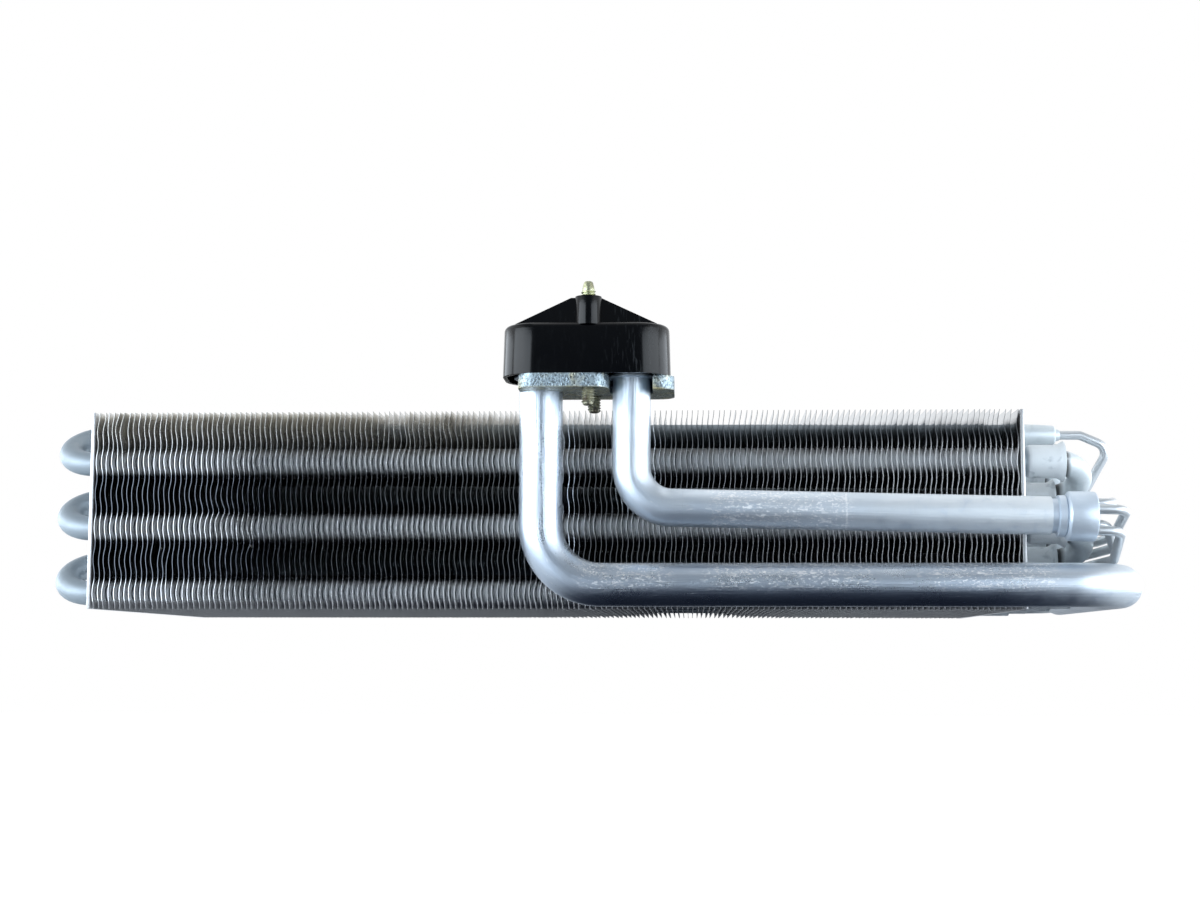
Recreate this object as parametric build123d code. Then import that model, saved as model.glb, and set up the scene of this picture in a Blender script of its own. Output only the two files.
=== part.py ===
from build123d import *
from math import asin, atan2, cos, degrees, pi, radians, sin, tan
import os

# Evaporator core of a vehicle air conditioner: plate fins on hairpin tubes.
# Sizes are in millimetres. X runs along the tubes, Y from the pipe side to the
# back, Z up. The origin is the middle of the core's underside.

# Tube grid
tube_diameter = 9.52
row_pitch = 25.4
column_pitch = 22.0
row_count = 3
circuit_count = 4

# Fins and end plates
core_length = 360.0
fin_count = 173
fin_thickness = 0.2
end_plate_thickness = 1.5
hole_clearance = 0.12

# Hairpin tubes, with belled ends at the right
bend_stub = 1.5
bell_start = 1.0
bell_taper = 2.0
bell_diameter = 13.0
bell_length = 12.8
lip_diameter = 15.8
lip_length = 2.6
bell_wall = 0.8
bell_depth = 8.4
flare_depth = 3.4
flare_clearance = 0.4
outlet_bell_diameter = 11.6

# Return bends and outlets, let into the bells
leg_depth = 8.2
bend_depth = 4.5

# Clamp plate that holds the two pipe ends
plate_bottom = 78.8
plate_thickness = 5.0
plate_front_gap = 12.0
plate_depth = 36.0
plate_left_wall = -0.5
plate_horn = 8.8
plate_corner = 5.0
plate_hole_clearance = 0.2
slot_clearance = 1.0
horn_setback = 6.0

# Suction pipe, which ends as the header behind the core's right end
suction_diameter = 16.0
suction_bend = 22.0
suction_x = -2.0
suction_axis_height = 8.2
header_offset = 32.0
header_overrun = 8.0

# Liquid pipe
liquid_diameter = 14.0
liquid_bend = 15.0
liquid_x = 31.4
liquid_corner_height = 36.7
liquid_end_height = 33.2
liquid_end_offset = 3.2

# Pipe ends above the clamp plate
pipe_wall = 1.2
mouth_depth = 24.0
pipe_end_height = 8.0
bead_width = 2.0
bead_thickness = 1.8

# Distributor
groove_diameter = 12.6
groove_length = 2.4
ring_diameter = 15.2
ring_length = 3.0
distributor_diameter = 18.2
distributor_length = 10.8
distributor_chamfer = 1.0

# Capillary tubes
capillary_diameter = 3.6
capillary_bend = 4.5
capillary_spacing = 4.4
capillary_gap = 0.4
capillary_reach = 7.7
capillary_reach_share = 0.5
capillary_set_in = 1.0
capillary_front_gap = 6.0
first_capillary_height = 40.0
first_capillary_back = 40.5
first_capillary_set_in = 6.0
capillary_swing_out = 7.0
capillary_drop = 5.0
capillary_climb_ahead = 30.5
capillary_climb_set_in = 8.0
capillary_climb_drop = 12.0
capillary_turn_in = 14.0
capillary_tail = 8.0
outlet_circle = 11.4
outlet_turn = 20.0

# Inlet nipples
nipple_start_diameter = 9.0
nipple_end_diameter = 7.8
nipple_length = 16.8
neck_diameter = 4.4
neck_length = 1.7

# Studs
stud_diameter = 4.9
stud_shank_diameter = 5.4
stud_below = 6.3
front_stud_length = 45.5
rear_stud_length = 28.0
front_stud_x = 16.1
rear_stud_x = 17.2
front_stud_inset = 4.5
rear_stud_inset = 9.5

# Protective cap over the pipe ends
cap_length = 61.6
cap_left_overhang = 6.2
cap_corner = 13.0
cap_wall = 1.6
cap_wall_height = 18.8
roof_height = 9.6
roof_shoulder = 3.6
ridge_length = 13.6
boss_diameter = 9.7

# Flat faces and straight chords of the round pieces
pipe_sides = 16
pipe_chords = 5
tube_sides = 8
tube_chords = 3
capillary_sides = 6
capillary_chords = 2

# Worked out from the sizes above
column_count = 2 * circuit_count
core_depth = column_count * column_pitch
core_height = row_count * row_pitch
half_length = core_length / 2
front_face = -core_depth / 2
tube_radius = tube_diameter / 2
tube_corner = tube_radius / cos(pi / tube_sides)
socket_radius = tube_corner + hole_clearance
hairpin_turn = degrees(atan2(row_pitch / 2, column_pitch))
pipe_y = front_face - plate_front_gap - plate_depth / 2
plate_top = plate_bottom + plate_thickness
bend_radius = (column_pitch**2 + (row_pitch / 2) ** 2) ** 0.5 / 2
bell_end = half_length + bell_start + bell_length + lip_length
header_x = half_length + header_offset


def tube_centre(column, row):
    """Y and Z of a tube, by its column from the front and its row from the bottom."""
    y = front_face + (column + 0.5) * column_pitch
    z = (row + 0.25 + 0.5 * (column % 2)) * row_pitch
    return y, z


def flat_sided(radius, sides, turn=0):
    """A round section drawn with flat sides, one of them square to the turned X."""
    return RegularPolygon(radius, sides, major_radius=False, rotation=180 / sides + turn)


def turned(stations, sides, turn=0):
    """A piece turned about X, with a flat-sided section at each (x, radius)."""
    sections = [
        Pos(x, 0, 0) * (Plane.YZ * flat_sided(radius, sides, turn)) for x, radius in stations
    ]
    return loft(sections, ruled=True)


def bent_route(corners, radius, chords):
    """The route's corners rounded to a radius, each arc drawn as straight chords."""
    route = [Vector(*corners[0])]
    for before, at, after in zip(corners, corners[1:], corners[2:]):
        corner = Vector(*at)
        back = (Vector(*before) - corner).normalized()
        ahead = (Vector(*after) - corner).normalized()
        half_angle = radians(back.get_angle(ahead)) / 2
        centre = corner + (back + ahead).normalized() * (radius / sin(half_angle))
        start = corner + back * (radius / tan(half_angle)) - centre
        end = corner + ahead * (radius / tan(half_angle)) - centre
        turn = pi - 2 * half_angle
        for step in range(chords + 1):
            share = turn * step / chords
            arm = (start * sin(turn - share) + end * sin(share)) / sin(turn)
            route.append(centre + arm)
    route.append(Vector(*corners[-1]))
    kept = [route[0]]
    for point in route[1:]:
        if (point - kept[-1]).length > 0.01:
            kept.append(point)
    return kept


def chorded_tube(route, radius, sides, flat_towards=None):
    """A tube along straight chords, mitred where they meet, with a flat side one way."""
    start = Plane(origin=route[0], x_dir=flat_towards, z_dir=route[1] - route[0])
    section = start * flat_sided(radius, sides)
    return sweep(section, path=Polyline(*route), transition=Transition.RIGHT)


def make_fin_pack():
    """Every fin as its rim, round the middle of the stack drawn as one solid.

    The rims reach in to the outer tubes, which show between them. No view gets
    past those tubes, so the middle has only the holes that the tubes run in.
    """
    span = core_length - 2 * end_plate_thickness
    pitch = span / fin_count
    reach = socket_radius
    outline = Plane.YZ * Rectangle(core_depth, core_height)
    window = Plane.YZ * Rectangle(
        core_depth - 2 * (column_pitch / 2 - reach), core_height - 2 * (row_pitch / 4 - reach)
    )
    rim = Pos(0, 0, core_height / 2) * extrude(outline - window, fin_thickness / 2, both=True)
    rims = [
        Pos(-span / 2 + (number + 0.5) * pitch, 0, 0) * rim for number in range(fin_count)
    ]
    middle = Plane.YZ * Rectangle(core_depth - column_pitch, core_height - row_pitch / 2)
    middle = Pos(0, 0, core_height / 2) * middle - tube_holes()
    return [*rims, extrude(middle, span / 2, both=True)]


def tube_holes():
    """The flat-sided holes that all tubes run in."""
    hole = Plane.YZ * flat_sided(tube_radius + hole_clearance, tube_sides, hairpin_turn)
    return [
        Pos(0, *tube_centre(column, row)) * hole
        for column in range(column_count)
        for row in range(row_count)
    ]


def make_end_plate(side):
    """The sheet that closes one end of the stack; side is -1 at the left, 1 at the right."""
    sheet = Plane.YZ * Rectangle(core_depth, core_height)
    sheet = Pos(0, 0, core_height / 2) * sheet - tube_holes()
    middle = side * (half_length - end_plate_thickness / 2)
    return Pos(middle, 0, 0) * extrude(sheet, end_plate_thickness / 2, both=True)


def make_bell():
    """The belled and flared end of a tube, for a return bend."""
    outer_radius = bell_diameter / 2
    lip_radius = lip_diameter / 2
    start = half_length + bell_start
    outside = [
        (start, tube_radius),
        (start + bell_taper, outer_radius),
        (start + bell_length, outer_radius),
        (bell_end, lip_radius),
    ]
    inside = [
        (bell_end - bell_depth, socket_radius),
        (bell_end - flare_depth, socket_radius + flare_clearance),
        (bell_end, lip_radius - bell_wall),
    ]
    bell = turned(outside, tube_sides, hairpin_turn)
    return bell - turned(inside, tube_sides, hairpin_turn)


def make_outlet_bell():
    """The plain bell of a circuit's last tube, small enough to stay over the core's underside."""
    outer_radius = outlet_bell_diameter / 2
    start = half_length + bell_start
    outside = [
        (start, tube_radius),
        (start + bell_taper, outer_radius),
        (bell_end, outer_radius),
    ]
    inside = [(bell_end - bell_depth, socket_radius), (bell_end, socket_radius)]
    bell = turned(outside, tube_sides, hairpin_turn)
    return bell - turned(inside, tube_sides, hairpin_turn)


def make_hairpin(column, row):
    """A tube bent double at the left, from a column to the next one, half a row up."""
    near_y, near_z = tube_centre(column, row)
    far_y, far_z = tube_centre(column + 1, row)
    bend_x = -half_length - bend_stub - bend_radius
    right_x = half_length + bell_start
    corners = [
        (right_x, near_y, near_z),
        (bend_x, near_y, near_z),
        (bend_x, far_y, far_z),
        (right_x, far_y, far_z),
    ]
    route = bent_route(corners, bend_radius, tube_chords)
    across = (0, far_y - near_y, far_z - near_z)
    hairpin = chorded_tube(route, tube_radius, tube_sides, across)
    near_bell = make_bell() if row else make_outlet_bell()
    hairpin += Pos(0, near_y, near_z) * near_bell
    if row < row_count - 1:
        hairpin += Pos(0, far_y, far_z) * make_bell()
    return hairpin


def make_return_bend(column, row):
    """The bend at the right, from a column to the next one, half a row down."""
    near_y, near_z = tube_centre(column, row)
    far_y, far_z = tube_centre(column + 1, row - 1)
    start_x = bell_end - leg_depth
    bend_x = bell_end - bend_depth + bend_radius
    corners = [
        (start_x, near_y, near_z),
        (bend_x, near_y, near_z),
        (bend_x, far_y, far_z),
        (start_x, far_y, far_z),
    ]
    route = bent_route(corners, bend_radius, tube_chords)
    across = (0, far_y - near_y, far_z - near_z)
    return chorded_tube(route, tube_radius, tube_sides, across)


def make_nipple(circuit):
    """The tapered piece that brings a capillary to a circuit's first tube."""
    y, z = tube_centre(2 * circuit + 1, row_count - 1)
    start = half_length + bell_start
    taper = turned(
        [(start, nipple_start_diameter / 2), (start + nipple_length, nipple_end_diameter / 2)],
        tube_sides,
    )
    neck = turned(
        [
            (start + nipple_length, neck_diameter / 2),
            (start + nipple_length + neck_length, neck_diameter / 2),
        ],
        tube_sides,
    )
    return Pos(0, y, z) * (taper + neck)


def header_end():
    """Y of the header's closed end, past the last outlet that enters it from the side."""
    return tube_centre(2 * (circuit_count - 2), 0)[0] + header_overrun


def make_outlet(circuit):
    """The tube from a circuit's last pass into the header, bent round to its end at the back."""
    y, z = tube_centre(2 * circuit, 0)
    start_x = bell_end - leg_depth
    if circuit < circuit_count - 1:
        stub = turned([(start_x, tube_radius), (header_x, tube_radius)], tube_sides)
        saddle = Plane.XZ * flat_sided(suction_diameter / 2 + hole_clearance, pipe_sides)
        saddle = extrude(saddle, tube_diameter, both=True)
        return Pos(0, y, z) * stub - Pos(header_x, y, suction_axis_height) * saddle
    corners = [(start_x, y, z), (header_x, y, z), (header_x, header_end(), z)]
    route = bent_route(corners, bend_radius, tube_chords)
    return chorded_tube(route, tube_radius, tube_sides, (0, 1, 0))


def make_pipe(x, diameter, corners, bend):
    """A pipe down from its open end over the clamp plate, with its bead on the plate."""
    top = plate_top + pipe_end_height
    route = bent_route([(x, pipe_y, top), *corners], bend, pipe_chords)
    bead = extrude(flat_sided(diameter / 2 + bead_width, pipe_sides), bead_thickness)
    mouth = extrude(flat_sided(diameter / 2 - pipe_wall, pipe_sides), -mouth_depth)
    pipe = chorded_tube(route, diameter / 2, pipe_sides)
    return pipe + Pos(x, pipe_y, plate_top) * bead - Pos(x, pipe_y, top) * mouth


def make_suction_pipe():
    """Down from the clamp plate, along the front and back along the right end as the header."""
    corners = [
        (suction_x, pipe_y, suction_axis_height),
        (header_x, pipe_y, suction_axis_height),
        (header_x, header_end(), suction_axis_height),
    ]
    return make_pipe(suction_x, suction_diameter, corners, suction_bend)


def liquid_end():
    """Middle of the liquid pipe's lower end, and the way the pipe faces there."""
    corner = Vector(liquid_x, pipe_y, liquid_corner_height)
    end = Vector(half_length + liquid_end_offset, pipe_y, liquid_end_height)
    return end, (end - corner).normalized()


def make_liquid_pipe():
    """Down from the clamp plate and along the front to the distributor."""
    corners = [(liquid_x, pipe_y, liquid_corner_height), tuple(liquid_end()[0])]
    return make_pipe(liquid_x, liquid_diameter, corners, liquid_bend)


def along_liquid_pipe():
    """The place and turn of what carries on from the liquid pipe's lower end, along X."""
    end, direction = liquid_end()
    return Pos(*end) * Rot(0, degrees(-asin(direction.Z)), 0)


def make_distributor():
    """The turned body that shares the liquid out to the capillary tubes."""
    body_start = groove_length + ring_length
    body_end = body_start + distributor_length
    body_radius = distributor_diameter / 2
    groove = turned([(0, groove_diameter / 2), (groove_length, groove_diameter / 2)], pipe_sides)
    ring = turned([(groove_length, ring_diameter / 2), (body_start, ring_diameter / 2)], pipe_sides)
    body = turned(
        [
            (body_start, body_radius - distributor_chamfer),
            (body_start + distributor_chamfer, body_radius),
            (body_end, body_radius),
        ],
        pipe_sides,
    )
    return along_liquid_pipe() * (groove + ring + body)


def capillary_start(circuit):
    """Where a capillary leaves the distributor's face, the first circuit's at the top."""
    length = groove_length + ring_length + distributor_length
    quarter = (1, 2, 0, 3)[circuit]
    angle = radians(outlet_turn + 90 * quarter - 45)
    radius = outlet_circle / 2
    outlet = along_liquid_pipe() * Pos(length, radius * cos(angle), radius * sin(angle))
    return outlet.position


def first_capillary_corners(low_z, nipple_y, nipple_z):
    """Back between the first circuit's two return bends, then up and outwards to the nipple."""
    back_y = front_face + first_capillary_back
    return [
        (header_x - capillary_set_in, front_face - capillary_front_gap, low_z),
        (header_x - first_capillary_set_in, back_y, low_z),
        (header_x + capillary_swing_out, nipple_y, nipple_z - capillary_drop),
    ]


def later_capillary_corners(low_z, nipple_y, nipple_z):
    """Back over the header, in between two circuits' return bends and up to the nipple."""
    climb_x = header_x - capillary_climb_set_in
    climb_y = nipple_y - capillary_climb_ahead
    return [
        (header_x - capillary_set_in, front_face - capillary_front_gap, low_z),
        (header_x + capillary_set_in, climb_y - capillary_turn_in, low_z),
        (climb_x, climb_y, low_z),
        (climb_x, climb_y, nipple_z - capillary_climb_drop),
    ]


def make_capillary(circuit):
    """From the distributor round the right end to its circuit's nipple."""
    start = capillary_start(circuit)
    nipple_y, nipple_z = tube_centre(2 * circuit + 1, row_count - 1)
    nipple_x = half_length + bell_start + nipple_length + neck_length
    below = (circuit_count - 1 - circuit) * capillary_spacing
    low_z = suction_axis_height + suction_diameter / 2 + capillary_diameter / 2 + capillary_gap
    reach = capillary_reach - capillary_reach_share * (start.Y - pipe_y)
    if circuit:
        middle = later_capillary_corners(low_z + below, nipple_y, nipple_z)
    else:
        middle = first_capillary_corners(first_capillary_height, nipple_y, nipple_z)
    corners = [
        tuple(start),
        tuple(start + liquid_end()[1] * reach),
        *middle,
        (nipple_x + capillary_tail, nipple_y, nipple_z),
        (nipple_x, nipple_y, nipple_z),
    ]
    route = bent_route(corners, capillary_bend, capillary_chords)
    return chorded_tube(route, capillary_diameter / 2, capillary_sides)


def make_clamp_plate():
    """The sheared plate, with a hole for the suction pipe and an open slot for the liquid pipe."""
    front = front_face - plate_front_gap - plate_depth
    back = front_face - plate_front_gap
    left = suction_x - suction_diameter / 2 - plate_left_wall
    slot_width = liquid_diameter + 2 * slot_clearance
    right = liquid_x + slot_width / 2 + plate_horn
    outline = Polyline(
        (left, back),
        (left, front),
        (liquid_x, front),
        (liquid_x, front + horn_setback),
        (right, front + horn_setback),
        (right, back),
        close=True,
    )
    blank = make_face(outline)
    ends = [point for point in blank.vertices() if point.X < left + 0.1 or point.X > right - 0.1]
    blank = fillet(ends, plate_corner)
    blank -= Pos(suction_x, pipe_y) * flat_sided(
        suction_diameter / 2 + plate_hole_clearance, pipe_sides
    )
    blank -= Pos(liquid_x, pipe_y) * Circle(slot_width / 2)
    blank -= Pos(liquid_x, front) * Rectangle(slot_width, 2 * (pipe_y - front))
    mouth = blank.vertices().sort_by_distance((liquid_x - slot_width / 2, front, 0))[0]
    blank = fillet([mouth], plate_corner)
    for x, y in stud_places():
        blank -= Pos(x, y) * Circle(stud_shank_diameter / 2 + hole_clearance)
    return Pos(0, 0, plate_bottom) * extrude(blank, plate_thickness)


def stud_places():
    """X and Y of the front stud and of the rear one."""
    front = front_face - plate_front_gap - plate_depth + front_stud_inset
    rear = front_face - plate_front_gap - rear_stud_inset
    return [(front_stud_x, front), (rear_stud_x, rear)]


def make_stud(place, length):
    """A stud pressed into the clamp plate, thicker from there up, with its threads drawn plain."""
    upright = (Align.CENTER, Align.CENTER, Align.MIN)
    lower = Cylinder(stud_diameter / 2, stud_below, align=upright)
    shank = Cylinder(stud_shank_diameter / 2, length - stud_below, align=upright)
    return Pos(*place, plate_bottom - stud_below) * (lower + Pos(0, 0, stud_below) * shank)


def roof_profile(inset):
    """The roof's front view, from its shoulders up to the ridge."""
    half_shoulder = cap_length / 2 - roof_shoulder - inset
    half_ridge = ridge_length / 2 - inset / 2
    return make_face(
        Polyline(
            (-half_shoulder, -0.5),
            (-half_shoulder, 0),
            (-half_ridge, roof_height - inset),
            (half_ridge, roof_height - inset),
            (half_shoulder, 0),
            (half_shoulder, -0.5),
            close=True,
        )
    )


def make_cap():
    """The moulded cap: upright walls, a sloping roof set back from them and a boss for the stud."""
    middle_x = suction_x - suction_diameter / 2 - plate_left_wall - cap_left_overhang
    middle_x += cap_length / 2
    roof_depth = plate_depth - 2 * front_stud_inset
    stud_x, stud_y = stud_places()[0]
    base = Pos(middle_x, pipe_y, plate_top)
    roof_base = base * Pos(0, 0, cap_wall_height)
    walls = extrude(RectangleRounded(cap_length, plate_depth, cap_corner), cap_wall_height)
    roof = extrude(Plane.XZ * roof_profile(0), roof_depth / 2, both=True)
    boss = Pos(stud_x, stud_y, plate_top + cap_wall_height) * Cylinder(
        boss_diameter / 2,
        roof_height,
        align=(Align.CENTER, Align.CENTER, Align.MIN),
    )
    cap = base * walls + roof_base * roof + boss
    hollow = extrude(
        RectangleRounded(
            cap_length - 2 * cap_wall, plate_depth - 2 * cap_wall, cap_corner - cap_wall
        ),
        cap_wall_height - cap_wall,
    )
    roof_hollow = extrude(Plane.XZ * roof_profile(cap_wall), roof_depth / 2 - cap_wall, both=True)
    stud_hole = Pos(stud_x, stud_y, plate_top) * Cylinder(
        stud_shank_diameter / 2 + hole_clearance,
        2 * (cap_wall_height + roof_height),
        align=(Align.CENTER, Align.CENTER, Align.MIN),
    )
    roof_hollow = roof_base * Pos(0, 0, -cap_wall) * roof_hollow
    return cap - base * hollow - roof_hollow - stud_hole


def build():
    """Every node by name."""
    nodes = {
        "fin_pack": make_fin_pack(),
        "end_plate_left": make_end_plate(-1),
        "end_plate_right": make_end_plate(1),
    }
    for circuit in range(circuit_count):
        letter = "abcd"[circuit]
        column = 2 * circuit
        for row in range(row_count):
            number = row_count - row
            nodes[f"hairpin_{letter}{number}"] = make_hairpin(column, row)
            if row:
                nodes[f"return_bend_{letter}{number}"] = make_return_bend(column, row)
        nodes[f"inlet_nipple_{letter}"] = make_nipple(circuit)
        nodes[f"outlet_tube_{letter}"] = make_outlet(circuit)
        nodes[f"capillary_{letter}"] = make_capillary(circuit)
    front_place, rear_place = stud_places()
    nodes["distributor"] = make_distributor()
    nodes["liquid_pipe"] = make_liquid_pipe()
    nodes["suction_pipe"] = make_suction_pipe()
    nodes["clamp_plate"] = make_clamp_plate()
    nodes["front_stud"] = make_stud(front_place, front_stud_length)
    nodes["rear_stud"] = make_stud(rear_place, rear_stud_length)
    nodes["protective_cap"] = make_cap()
    return nodes


os.makedirs("parts", exist_ok=True)
for name, shape in build().items():
    solids = shape if isinstance(shape, list) else [shape]
    parts = [solid for piece in solids for solid in piece.solids()]
    whole = parts[0] if len(parts) == 1 else Compound(children=parts)
    export_step(whole, f"parts/{name}.step")
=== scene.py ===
import logging
from dataclasses import dataclass, field
from enum import Enum
from math import cos, hypot, pi, radians, sin, tan
from typing import Callable

import bpy
import numpy as np
from mathutils import Matrix, Vector

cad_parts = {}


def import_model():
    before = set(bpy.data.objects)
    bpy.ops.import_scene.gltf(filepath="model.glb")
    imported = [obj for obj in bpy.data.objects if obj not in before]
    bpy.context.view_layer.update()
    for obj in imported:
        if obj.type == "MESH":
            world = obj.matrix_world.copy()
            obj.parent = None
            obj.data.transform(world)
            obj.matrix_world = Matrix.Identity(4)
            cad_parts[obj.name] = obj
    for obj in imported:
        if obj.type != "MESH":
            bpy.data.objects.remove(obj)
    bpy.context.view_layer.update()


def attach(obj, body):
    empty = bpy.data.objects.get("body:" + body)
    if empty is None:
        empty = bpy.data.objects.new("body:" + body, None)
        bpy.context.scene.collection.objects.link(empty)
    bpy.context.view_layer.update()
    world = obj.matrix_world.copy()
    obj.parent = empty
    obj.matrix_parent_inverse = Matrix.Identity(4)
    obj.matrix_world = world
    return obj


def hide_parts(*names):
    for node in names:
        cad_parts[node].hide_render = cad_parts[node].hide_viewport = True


MM = 0.001
LOG = logging.getLogger("evaporator_core")
Piece = bpy.types.Object

# Colour of the painted shade on the fins.
PAINTED_SHADE = (0.1, 0.11, 0.13)
LEFT, RIGHT = -1, 1


def in_mm(*rows: tuple) -> list:
    """Turns rows of millimetres into rows of metres."""
    return [tuple(value * MM for value in row) for row in rows]


# Shader maths


class Wire:
    """A node's output, which Python's operators turn into Math nodes."""

    def __init__(self, graph: "Graph", socket: bpy.types.NodeSocket) -> None:
        """Keeps the output and the graph that it belongs to."""
        self.graph = graph
        self.socket = socket

    def _with(self, operation: str, first: object, second: object) -> "Wire":
        """Adds one Math node for two numbers or wires."""
        return self.graph.node("Math", {"operation": operation}, {0: first, 1: second})

    def __add__(self, other: object) -> "Wire":
        """Sum."""
        return self._with("ADD", self, other)

    def __radd__(self, other: object) -> "Wire":
        """Sum with the number first."""
        return self._with("ADD", other, self)

    def __sub__(self, other: object) -> "Wire":
        """Difference."""
        return self._with("SUBTRACT", self, other)

    def __rsub__(self, other: object) -> "Wire":
        """Difference with the number first."""
        return self._with("SUBTRACT", other, self)

    def __mul__(self, other: object) -> "Wire":
        """Product."""
        return self._with("MULTIPLY", self, other)

    def __rmul__(self, other: object) -> "Wire":
        """Product with the number first."""
        return self._with("MULTIPLY", other, self)

    def __truediv__(self, other: object) -> "Wire":
        """Quotient."""
        return self._with("DIVIDE", self, other)

    def __pow__(self, other: object) -> "Wire":
        """Power."""
        return self._with("POWER", self, other)

    def above(self, low: float, high: float) -> "Wire":
        """A mask that rises from 0 at low to 1 at high."""
        values = {"Value": self, "From Min": low, "From Max": high}
        return self.graph.node("MapRange", {"clamp": True}, values)


class Graph:
    """A node tree that is filled node by node."""

    def __init__(self, tree: bpy.types.NodeTree) -> None:
        """Empties the tree of a material or of the world."""
        self.tree = tree
        tree.nodes.clear()

    def node(self, kind: str, settings: dict, values: dict, output: object = 0) -> Wire:
        """Adds a node.

        Args:
            kind: the node's type without its ShaderNode prefix.
            settings: what is set on the node itself, before its sockets.
            values: numbers, colours, vectors or wires by socket name or number.
            output: the name or number of the output that is wanted.

        Returns:
            The output as a wire.
        """
        node = self.tree.nodes.new("ShaderNode" + kind)
        for key, value in settings.items():
            setattr(node, key, value)
        for key, value in values.items():
            socket = node.inputs[key]
            if isinstance(value, Wire):
                self.tree.links.new(value.socket, socket)
            else:
                socket.default_value = value
        return Wire(self, node.outputs[output])

    def place(self) -> Wire:
        """The place on the object."""
        return self.node("TexCoord", {}, {}, "Object")

    def axis(self, place: Wire, number: int) -> Wire:
        """One part of a position: 0 for X, 1 for Y, 2 for Z."""
        return self.node("SeparateXYZ", {}, {"Vector": place}, number)

    def larger(self, first: object, second: object) -> Wire:
        """The larger of two values."""
        return self.node("Math", {"operation": "MAXIMUM"}, {0: first, 1: second})

    def blend(self, share: object, first: object, second: object) -> Wire:
        """Mixes two colours.

        Args:
            share: how much of the second colour shows.
            first: the colour where share is 0.
            second: the colour where share is 1.

        Returns:
            The mixed colour.
        """
        ends = {
            number: colour if isinstance(colour, Wire) else (*colour, 1)
            for number, colour in ((6, first), (7, second))
        }
        return self.node("Mix", {"data_type": "RGBA"}, {0: share, **ends}, 2)

    def stretched(self, place: Wire, scale: tuple) -> Wire:
        """Scales a position, so that a pattern on it is finer along one way than another."""
        return self.node("Mapping", {}, {"Vector": place, "Scale": scale})

    def noise(self, place: Wire, scale: float, detail: float = 2, distortion: float = 0) -> Wire:
        """Adds a noise pattern.

        Args:
            place: the position that it is read at.
            scale: its scale.
            detail: its octaves.
            distortion: how far it is swirled.

        Returns:
            The noise's value, about 0.5 in the middle.
        """
        values = {"Vector": place, "Scale": scale, "Detail": detail, "Distortion": distortion}
        return self.node("TexNoise", {}, values)

    def bump(self, height: Wire, distance: float, strength: float = 1) -> Wire:
        """Turns a height pattern into a bump of that many metres."""
        values = {"Height": height, "Distance": distance, "Strength": strength}
        return self.node("Bump", {}, values)

    def surface(self, colour: Wire, metal: object, rough: Wire, normal: Wire, **more: object) -> Wire:
        """Adds the surface shader."""
        values = {"Base Color": colour, "Metallic": metal, "Roughness": rough, "Normal": normal}
        return self.node("BsdfPrincipled", {}, {**values, **more})

    def show(self, kind: str, shader: Wire) -> None:
        """Joins a shader to the tree's output, which is a Material or World one."""
        output = self.tree.nodes.new("ShaderNodeOutput" + kind)
        self.tree.links.new(shader.socket, output.inputs["Surface"])


# Finishes


@dataclass(frozen=True)
class Finish:
    """What every finish of the object has."""

    name: str
    colour: tuple
    roughness: float

    def material(self) -> bpy.types.Material:
        """Makes the finish once and hands out the same one after that.

        Returns:
            The material.
        """
        made = bpy.data.materials.get(self.name)
        if made:
            return made
        made = bpy.data.materials.new(self.name)
        made.use_nodes = True
        graph = Graph(made.node_tree)
        graph.show("Material", self.paint(graph))
        return made

    def paint(self, graph: Graph) -> Wire:
        """Adds the finish's nodes; each finish has its own."""
        raise NotImplementedError


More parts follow.
